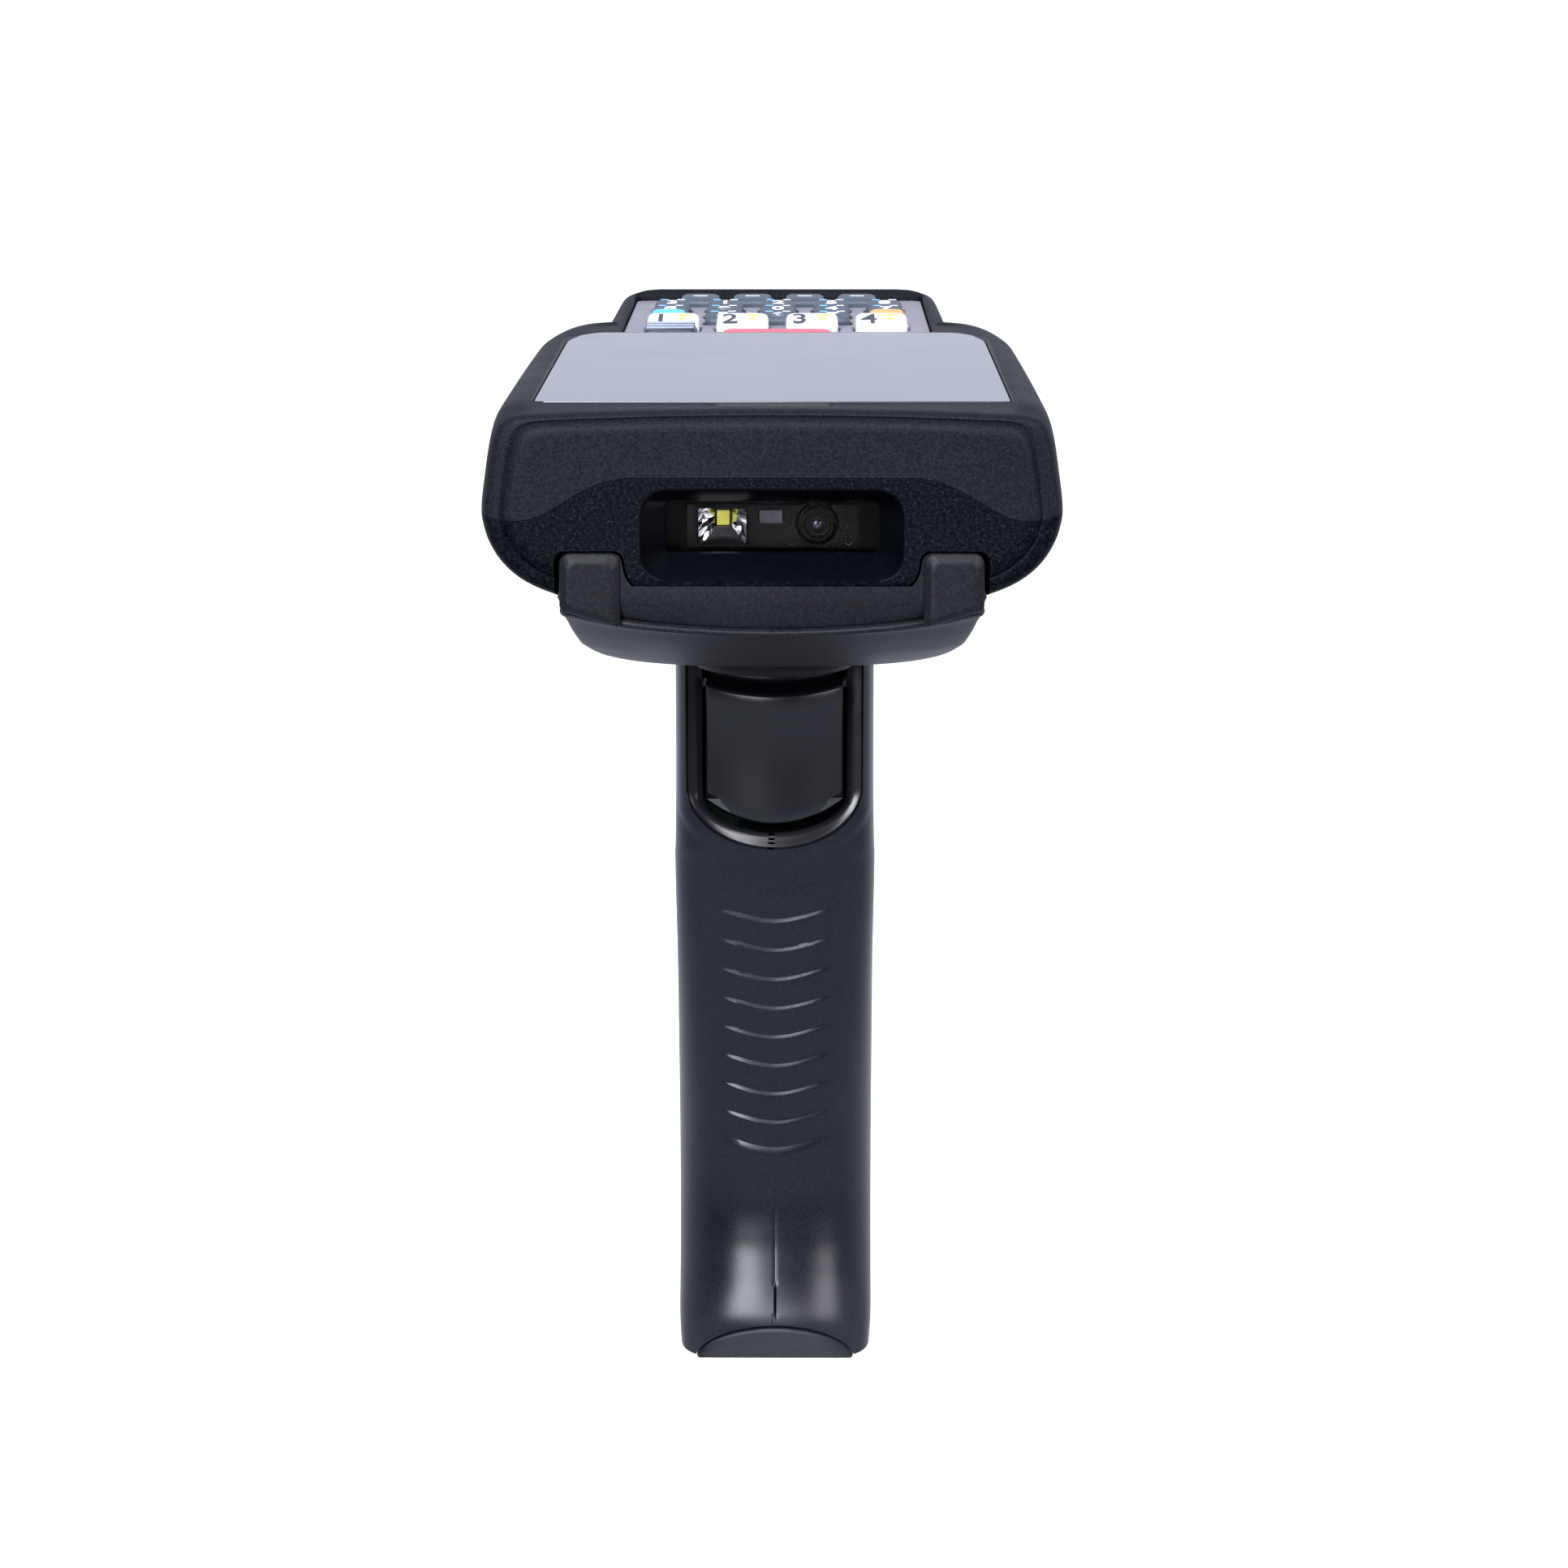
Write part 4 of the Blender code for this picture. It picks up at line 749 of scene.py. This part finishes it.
# ------------------------------------------------------------------ small terminal pieces
def small_pieces():
    for side, name in ((-1, "left_scan_key"), (1, "right_scan_key")):
        rings = []
        for x, g in ((36.4, 0), (41.0, 0), (41.35, 0.12), (41.5, 0.4), (41.55, 0.9)):
            outline = rounded(11 - g, 2.7 - g, max(0.3, 1.2 - g * 0.5), 5, (-35, TOP - 9.7))
            rings.append([(side * x, y, z) for y, z in outline])
        cap = loft(f"{name}_cap", rings, M["side_key"], 40)
        place(cap, name, "side_key", name)
        for i in range(5):
            low = (side * 41.55 - 0.2, -39.3 + 2 * i, TOP - 11.6)
            high = (side * 41.55 + 0.2, -38.7 + 2 * i, TOP - 7.8)
            place(block(f"{name}_rib_{i}", low, high, M["side_key"], 0.15), name, "side_key")
    battery()


def battery():
    pack = terminal_solid("battery_cover", M["battery"])
    keep = prism("keep", rounded(22, 23.5, 1.0, 4, (0, 73.5)), "Z", TOP - 40, TOP - 15.8, M["battery"])
    carve(pack, keep, operation="INTERSECT")
    ribs = [block("rib", (-14, 56 + 3 * i, TOP - 30), (14, 57.1 + 3 * i, TOP - 27.55), M["battery"], 0.3)
            for i in range(4)]
    carve(pack, block("groove", (-5.6, 49, TOP - 26.2), (5.6, 51.5, TOP), M["battery"], 0), *ribs)
    weighted(pack)
    place(pack, "battery", "battery_case", "battery_pack")


# ------------------------------------------------------------------ cradle
CRADLE_UPPER = [
    (19.9, 30.4, -104.3, 40, 7, 6), (26.5, 30.6, -104.3, 40.4, 8, 6), (28.8, 30.4, -104.1, 41, 9, 8),
    (30.6, 30.0, -103.7, 41.5, 11, 9), (31.0, 29.8, -103.5, 41.6, 12, 9),
]
CRADLE_LOWER = [
    (31.03, 29.8, -103.5, 41.6, 12, 9), (31.15, 30.0, -103.7, 41.7, 12, 9), (31.5, 30.3, -104.1, 41.8, 12, 9),
    (31.75, 30.25, -104.1, 41.8, 12, 9), (32.3, 29.7, -102.9, 41.7, 13, 9), (34, 28.9, -99.3, 41, 15, 12),
    (37, 27.2, -91.5, 38, 18, 14), (39.5, 25, -83, 34, 18, 14), (41.2, 22, -75, 29, 17, 13),
    (42, 18.5, -67, 24, 15, 12),
]
CREASE_DEPTH, CREASE_RISE, CREASE_HALF = 31.0, 1.6, 22.0


def plan_ring(depth, half, front, rear, front_corner, rear_corner, inset=0.0, steps=16):
    """An outline in plan; near the crease its front bows up towards both sides."""
    half, front, rear = half - inset, front + inset, rear - inset
    right = [(0.25 * i * (half - front_corner * 1.15), front) for i in range(4)]
    for i in range(steps + 1):
        turn = math.pi / 2 * i / steps
        wide = front_corner * 1.15
        right.append((half - wide + wide * math.sin(turn), front + front_corner * 0.55 * (1 - math.cos(turn))))
    for i in range(steps + 1):
        turn = math.pi / 2 * i / steps
        right.append((half - rear_corner + rear_corner * math.cos(turn),
                      rear - rear_corner + rear_corner * math.sin(turn)))
    bow = CREASE_RISE * max(0.0, 1 - abs(depth - CREASE_DEPTH) / 5)

    def height(x, y):
        return TOP - depth + bow * min((x / CREASE_HALF) ** 2, 1.6) * float(ease(-60, -95, y))
    return [(x, y, height(x, y)) for x, y in right + [(-x, y) for x, y in reversed(right[1:])]]


HOOK_MIDDLE = (25.65, 25.4)


def hook_ring(side, y, inset):
    """A hook's outline from the front: rounded at the top, slanting down inwards at the foot."""
    points = [(21.35, 30.3), (21.35, 21.7)]
    for centre_x, start in ((22.95, 180), (28.35, 90)):
        for i in range(9):
            turn = math.radians(start - 90 * i / 8)
            points.append((centre_x + 1.6 * math.cos(turn), 21.7 - 1.6 * math.sin(turn)))
    points += [(29.95, 27.6), (29.6, 28.3), (21.9, 30.6)]
    ring = []
    for x, depth in points:
        x += (HOOK_MIDDLE[0] - x) * inset / 4.3
        depth += (HOOK_MIDDLE[1] - depth) * inset / 5.0
        ring.append((side * x, y, TOP - depth))
    return ring


def terminal_clearance(gap=0.3):
    profile = section_profile(2.0, 3)
    rings = [terminal_ring(y, s - gap, t - gap, b - gap, profile) for y, s, t, b in refine(ENDS, 6, 2)]
    rings[0] = [(x, y - gap, z) for x, y, z in rings[0]]
    body = loft("clearance", rings, M["cradle"])
    seats = []
    for side in (-1, 1):
        notch = []
        for x, d in refine(NOTCH, 0.6, 1):
            x += 0.3 if x < 25.75 else -0.3
            notch.append((side * x, TOP - (d + 0.3 if d < 30 else d)))
        seats.append(prism("seat", notch, "Y", NOSE - 6, NOSE + 3.7, M["cradle"]))
    return carve(body, *seats)


def cradle():
    tray = loft("tray", [plan_ring(*row) for row in refine(CRADLE_UPPER, 0.8, 3)], M["cradle"])
    carve(tray, terminal_clearance())
    hooks = []
    levels = (
        (-105.4, 1.6), (-105.38, 1.15), (-105.28, 0.95), (-104.72, 0.22), (-104.58, 0.08), (-104.4, 0), (-101.0, 0),
    )
    for side in (-1, 1):
        hooks.append(loft("hook", [hook_ring(side, y, inset) for y, inset in levels], M["cradle"]))
    carve(tray, *hooks, operation="UNION")
    carve(tray, block("hole", (-7.3, -74.3, TOP - 35), (7.3, -67.7, TOP - 26), M["cradle"], 0),
          block("hole", (-6.6, 29.4, TOP - 33), (6.6, 37.2, TOP - 25), M["cradle"], 0), smooth_deg=30)
    weighted(tray)
    place(tray, "terminal", "cradle", "cradle_tray")

    base = loft("cradle_shell", [plan_ring(*row) for row in refine(CRADLE_LOWER, 1.6, 3)], M["cradle"])
    shelf = CRADLE_LOWER[0][1:]
    rows = ((28, *shelf), (31.0, *shelf), *CRADLE_LOWER[4:7])
    hollow = loft("hollow", [plan_ring(*row, inset=2.4) for row in rows], M["inside"])
    carve(base, hollow)
    collar = []
    turns = [math.pi * i / 40 for i in range(41)]
    for depth, scale in ((40.8, 1.02), (44.2, 1.02), (44.9, 1.0), (45.4, 0.97), (45.7, 0.91)):
        collar.append([(12.4 * scale * math.cos(t), -48 - 10.8 * scale * math.sin(t), TOP - depth) for t in turns])
    carve(base, loft("collar", collar, M["cradle"]), operation="UNION")
    carve(base, block("slot", (-6.6, 33, TOP - 37.6), (6.6, 60, TOP - 30), M["inside"], 0),
          turned("wire", (0, -20, TOP - 41), "Z", [(5, -4), (5, 4)], M["inside"], 24), smooth_deg=30)
    weighted(base)
    place(base, "terminal", "cradle", "cradle_base")

    latch = block("release_button", (-6.2, 31.3, TOP - 37.2), (6.2, 43.6, TOP - 32.0), M["trigger"], 0.8, 4)
    carve(latch, block("stem", (-5.6, 30.7, TOP - 34), (5.6, 33.6, TOP - 24.7), M["trigger"], 0.1),
          block("tooth", (-5.6, 28.6, TOP - 25.9), (5.6, 31.5, TOP - 24.7), M["trigger"], 0.1), operation="UNION")
    place(latch, "release_latch", "latch", "release_latch")
    for i in range(4):
        low, high = (-4.6, 36.6 + 1.7 * i, TOP - 37.5), (4.6, 37.4 + 1.7 * i, TOP - 37.0)
        place(block(f"release_rib_{i}", low, high, M["trigger"], 0.2), "release_latch", "latch")


# ------------------------------------------------------------------ grip
GRIP = [  # (z, front, back, half width)
    (1.6, -45.8, 13.4, 15.2), (4.0, -42.0, 13.2, 15.5), (6.4, -39.3, 12.9, 15.6), (9.5, -37.3, 12.2, 15.6),
    (13, -36.0, 11.2, 15.6), (18, -34.7, 9.8, 15.6), (24, -34.0, 8.2, 15.6), (30, -34.6, 6.4, 15.6),
    (45, -37.4, 3.0, 15.6), (60, -40.5, 0.8, 15.6), (81, -44.8, -0.8, 15.8), (84, -45.5, -0.9, 15.7),
    (100, -47.0, 0.5, 15.5), (113, -47.5, 3.2, 15.5), (117.7, -47.5, 5.0, 15.5),
]
GRIP_COLUMNS = np.asarray(GRIP).T
TOE = -38.7  # the flat front of the toe
GROOVES = [33.1 + 4.96 * i for i in range(10)]  # foot of each finger groove
SCREWS = ((-8, 105), (-20, 55), (-12, 14))  # (y, z)


def grip_section(z, inset=0.0, steps=34, grooves=True):
    """Right half of the grip's section, from the front's middle round to the back's middle."""
    front, back, half = (float(pchip(GRIP_COLUMNS[0], GRIP_COLUMNS[c], z)) for c in (1, 2, 3))
    front, back, half = front + inset, back - inset, half - inset
    square = float(ease(30, 84, z))  # the front is rounder below the grooves and squarer by the trigger
    power = 2.3 + 1.1 * square + 0.9 * float(ease(12, 2, z))
    nose = 13 - 3.5 * square - inset * 0.6
    points = []
    for i in range(steps + 1):
        across = math.sin(math.pi / 2 * i / steps)
        x, y = half * across, front + nose * (1 - (1 - across**power) ** (1 / power))
        if grooves:
            y += shoulder(x, z) + finger(x, z)
        points.append((x, y))
    turn_back = 14 - inset * 0.6
    for i in range(steps + 1):
        turn = math.pi / 2 * i / steps
        points.append((half * math.cos(turn), back - turn_back + turn_back * math.sin(turn)))
    return points


def shoulder(x, z):
    """Round the trigger the front stands a little proud of a curved, soft crease."""
    line = 83.3 + 10.5 * (1 - math.sqrt(max(0.0, 1 - (x / 15.7) ** 2)))
    return -0.4 * float(ease(line - 0.7, line + 0.5, z)) * float(ease(15.7, 14.6, abs(x)))


def finger(x, z):
    """Shallow finger grooves, each ending in a small ledge at its foot."""
    width = float(ease(9.9, 6.0, abs(x)))
    if not width:
        return 0.0
    depth = 0.0
    for count, foot in enumerate(GROOVES):
        if foot - 0.35 < z < foot + 3.4:
            full = 0.15 if count == len(GROOVES) - 1 else 0.45
            depth = full * float(ease(foot - 0.35, foot + 0.4, z)) * float(1 - ease(foot + 0.4, foot + 3.4, z))
    return depth * width


def smile(x, z):
    """How far a ring of the grip is bent up at the sides, so that the grooves curve."""
    return 2.1 * float(ease(0, 11.5, abs(x)) * ease(22, 30, z) * ease(86, 79, z))


def mouth(material):
    """The trigger's opening: a U whose edge is a broad rounded band, set further back at the sides."""
    def ring(half, floor, arc, y, back):
        right = [(half, y + back, 126), (half, y + back, arc)]
        for i in range(1, 21):
            turn = math.pi / 2 * i / 20
            right.append((half * math.cos(turn), y + back * math.cos(turn) ** 2, arc - (arc - floor) * math.sin(turn)))
        return right + [(-x, y, z) for x, y, z in reversed(right[:-1])]
    levels = [(14.6, 84.2, 95.0, -62, 0), (13.75, 84.95, 94.6, -45.9, 2.4), (13.5, 85.2, 94.5, -45.3, 2.4)]
    for i in range(1, 6):
        part = i / 6
        levels.append((13.4 - 1.9 * part, 85.3 + 1.95 * part, 94.4 - 0.9 * part, -45.2 + 0.55 * part ** 2, 2.4))
    levels += [(11.3, 87.3, 93.2, -44.5, 2.4), (11.25, 87.35, 93.1, -44.0, 2.4)]
    levels += [(11.4, 86.9, 92.6, -42.6, 2.4), (11.4, 86.9, 92.6, -30, 2.4)]
    return loft("mouth", [ring(*level) for level in levels], material)


def seam(z):
    """Depth of the open groove where the two halves meet at the toe, with a small notch near its foot."""
    open_part = float(ease(28.5, 26, z))
    notch = float(ease(6.2, 7.2, z) * ease(10.9, 10.2, z))
    return 0.05 * open_part + 0.4 * notch


def grip():
    levels = {117.7}
    for start, end, step in ((1.6, 34, 0.8), (34, 76, 0.3), (76, 95, 0.6), (95, 117.7, 2)):
        levels.update(round(float(v), 3) for v in np.arange(start, end, step))
    inner_levels = [-1.0, 4, 6.4, 9.5, 13, 18, 24, 30, 45, 60, 68, 72, 76, 80, 84, 100, 113, 115]
    for side, name in ((-1, "left"), (1, "right")):
        rings = []
        for z in sorted(levels):
            section = grip_section(z)
            middle = section[0][1]
            section = [(0, middle + seam(z)), (0.24, middle)] + section[1:-1] + [(0, section[-1][1])]
            front_half = len(section) // 2
            rings.append([(side * x, y, z + smile(x if i < front_half else 20, z)) for i, (x, y) in enumerate(section)])
        half = loft(f"grip_{name}", rings, M["grip"])
        inside = []
        for z in inner_levels:
            section = grip_section(max(z, 1.6), 2.4, 12, False)
            wall = -34 - 12 * float(ease(80, 68, z))  # further back behind the trigger
            section = [(x, max(y, wall)) for x, y in section]
            past_middle = [(-side * 1.0, section[-1][1], z), (-side * 1.0, section[0][1], z)]
            inside.append([(side * x, y, z) for x, y in section] + past_middle)
        toe = prism("toe", toe_arch(0), "Y", -60, TOE, M["inside"])
        way = block("way", (-6, -28, 111), (6, -12, 121), M["inside"], 0)
        carve(half, loft("inside", inside, M["inside"]), toe, mouth(M["lip"]), way)
        if side < 0:
            wells = [turned("well", (-15.1, y, z), "X", [(2.6, -4), (2.6, 4)], M["grip"], 32) for y, z in SCREWS]
            carve(half, *wells)
        weighted(half)
        place(half, "terminal", "grip_plastic", f"grip_{name}_half")

    foot_pieces()


def toe_arch(grow):
    """The arched outline of the foot's front, from the front."""
    half, rise = 13.15 + grow, 5.45 + grow
    arch = [(half * math.cos(math.pi * i / 40), rise * math.sin(math.pi * i / 40) ** 0.92) for i in range(1, 40)]
    return [(half, -2), (half, 0.2)] + arch + [(-half, 0.2), (-half, -2)]


def foot_pieces():
    front = TOE - 1.4
    rings = []
    for level, inset in ((0, 3.0), (0.12, 2.65), (0.45, 2.35), (0.9, 2.1), (1.4, 1.6)):
        right = grip_section(1.6, inset, 24, False)
        rings.append([(x, max(y, front + 0.1), level) for x, y in right + [(-x, y) for x, y in reversed(right[1:-1])]])
    place(loft("foot_plate", rings, M["foot"]), "terminal", "foot_rubber", "grip_foot")

    def outline(grow):
        points = []
        for x, z in toe_arch(grow):
            widest = 12.5 + grow * 0.3 + 0.6 * min(1, max(z, 0) / 1.2)
            points.append((math.copysign(min(abs(x), widest), x), max(z, 0.05)))
        return points
    rings = []
    levels = ((TOE - 0.05, -0.5), (front + 0.7, -0.5), (front + 0.3, -0.62), (front + 0.08, -0.9), (front, -1.25))
    for y, grow in levels:
        rings.append([(x, y, z) for x, z in outline(grow)])
    place(weighted(loft("foot_bumper", rings, M["foot"])), "terminal", "foot_rubber")


TRIGGER = [  # (z, front, back)
    (89.2, -46.2, -44.4), (89.3, -46.8, -43.6), (89.6, -47.3, -42.9), (90.3, -47.65, -42.1), (91.5, -47.75, -41.3),
    (93, -47.75, -40.4), (96, -47.75, -39.4), (99, -47.8, -38.2), (103, -48.15, -36.4), (106, -48.75, -35.4),
    (108.9, -49.45, -34.8), (109.6, -49.4, -34.8), (110.05, -49.0, -34.8), (110.25, -48.3, -34.8),
    (110.35, -47.2, -34.8), (110.5, -42.6, -34.8), (111.0, -41.9, -34.8), (112.2, -41.6, -34.8), (113.4, -41.0, -35.6),
]
TRIGGER_HALF = 10.65


def trigger():
    rings = []
    for z, front, back in refine(TRIGGER, 0.7, 3):
        low, high = float(ease(100, 89, z)), float(ease(104, 109, z))
        right = []
        for i in range(29):
            across = math.sin(math.pi / 2 * i / 28)
            x = TRIGGER_HALF * across
            reach = max(0.2, back - front - 1.4)
            y = front + min(1.2, reach) * (1 - (1 - across**9) ** (1 / 9)) + min(3.0, reach) * across**2
            right.append((x, min(y, back - 0.9 - 0.01 * (28 - i))))
        right += [(TRIGGER_HALF, back - 0.8), (TRIGGER_HALF - 0.25, back - 0.25), (TRIGGER_HALF - 0.8, back)]

        def lift(x):
            return (3.9 * low + 1.1 * high) * (x / TRIGGER_HALF) ** 2
        rings.append([(x, y, z + lift(x)) for x, y in right + [(-x, y) for x, y in reversed(right[1:])]])
    piece = loft("trigger_blade", rings, M["trigger"], 45)
    carve(piece, turned("bore", (0, -38, 110.5), "X", [(1.8, -20), (1.8, 20)], M["trigger"], 24), smooth_deg=40)
    weighted(piece)
    place(piece, "trigger", "trigger_plastic", "trigger")


# ------------------------------------------------------------------ carried-over nodes
def carried():
    for names, look in (
        (("housing_seal", "keypad_mat"), "silicone"), (("main_board", "keypad_board", "trigger_switch"), "board"),
        (("lcd_panel",), "screen"), (("trigger_spring",), "steel"),
        (("trigger_pin", "grip_screw_upper", "grip_screw_middle", "grip_screw_lower"), "dark_steel"),
        (("dock_connector", "contact_block"), "optics"), (("battery_latch",), "trigger"),
    ):
        for name in names:
            NODES[name].data.materials.clear()
            NODES[name].data.materials.append(M[look])


# ------------------------------------------------------------------ studio
def backdrop():
    """A white sweep: white to the eye; as a light it is dim around the camera and bright below, beside and behind."""
    world = bpy.data.worlds.new("studio")
    bpy.context.scene.world = world
    world.use_nodes = True
    tree = world.node_tree
    direction = node(tree, "ShaderNodeTexCoord").outputs["Generated"]
    split = node(tree, "ShaderNodeSeparateXYZ")
    tree.links.new(direction, split.inputs[0])

    def zone(axis, start, end, low, high):
        spread = node(tree, "ShaderNodeMapRange", interpolation_type="SMOOTHSTEP")
        for key, value in (("From Min", start), ("From Max", end), ("To Min", low), ("To Max", high)):
            spread.inputs[key].default_value = value
        tree.links.new(split.outputs[axis], spread.inputs["Value"])
        return spread.outputs["Result"]

    def brighter(a, b):
        pick = node(tree, "ShaderNodeMath", operation="MAXIMUM")
        tree.links.new(a, pick.inputs[0])
        tree.links.new(b, pick.inputs[1])
        return pick.outputs[0]
    table = zone("Z", -0.12, -0.42, 0.0, 0.85)
    ceiling = zone("Z", 0.45, 0.9, 0.0, 0.55)
    behind = zone("Y", -0.70, 0.35, 0.09, 0.93)
    level = brighter(brighter(table, ceiling), behind)
    around = tree.nodes["Background"]
    around.inputs["Color"].default_value = (0.90, 0.95, 1.14, 1)
    tree.links.new(level, around.inputs["Strength"])
    seen = node(tree, "ShaderNodeBackground")
    seen.inputs["Color"].default_value = (1, 1, 1, 1)
    choose = node(tree, "ShaderNodeMixShader")
    tree.links.new(node(tree, "ShaderNodeLightPath").outputs["Is Camera Ray"], choose.inputs["Fac"])
    tree.links.new(around.outputs[0], choose.inputs[1])
    tree.links.new(seen.outputs[0], choose.inputs[2])
    tree.links.new(choose.outputs[0], tree.nodes["World Output"].inputs["Surface"])


def softbox(name, side_deg, height_deg, distance, size, power, colour):
    """A soft light seen from the object at an angle beside the camera's and above the floor."""
    side, height = math.radians(side_deg), math.radians(height_deg)
    target = Vector((0, -0.03, 0.08))
    toward = Vector((math.sin(side) * math.cos(height), -math.cos(side) * math.cos(height), math.sin(height)))
    light = bpy.data.lights.new(name, "AREA")
    light.shape = "RECTANGLE"
    light.size, light.size_y = size
    light.energy = power
    light.color = colour
    obj = bpy.data.objects.new(name, light)
    bpy.context.scene.collection.objects.link(obj)
    obj.location = target + toward * distance
    obj.rotation_euler = (-toward).to_track_quat("-Z", "Y").to_euler()


def studio():
    reach = 30000
    corners = [(-reach, -reach, 0), (reach, -reach, 0), (reach, reach, 0), (-reach, reach, 0)]
    floor = mesh_object("floor", corners, [(0, 1, 2, 3)], None)
    mat, _, shader = new_material("floor_white", (0.35, 0.35, 0.36), 0.9, specular=0.0)
    shader.inputs["Emission Color"].default_value = (1, 1, 1, 1)
    shader.inputs["Emission Strength"].default_value = 0.86
    floor.data.materials.append(mat)
    floor.visible_diffuse = False
    floor.visible_glossy = False
    floor.visible_shadow = False
    backdrop()
    softbox("key_left", -20, 34, 1.5, (0.58, 1.65), 66, (0.94, 0.96, 1.03))
    softbox("key_right", 46, 34, 1.5, (0.55, 1.65), 32, (1.0, 0.94, 1.03))
    bpy.context.scene.view_settings.view_transform = "Standard"


def camera():
    cam = bpy.data.cameras.new("camera")
    cam.lens = 100.4
    cam.sensor_width = 36
    cam.clip_start, cam.clip_end = 0.01, 50
    obj = bpy.data.objects.new("camera", cam)
    bpy.context.scene.collection.objects.link(obj)
    obj.location = (0.0041, -0.7135, 0.2266)
    obj.rotation_euler = (math.radians(90 - 11.12), 0, math.radians(0.225))
    bpy.context.scene.camera = obj


camera()
terminal()
scanner()
keypad()
small_pieces()
cradle()
grip()
trigger()
carried()
studio()
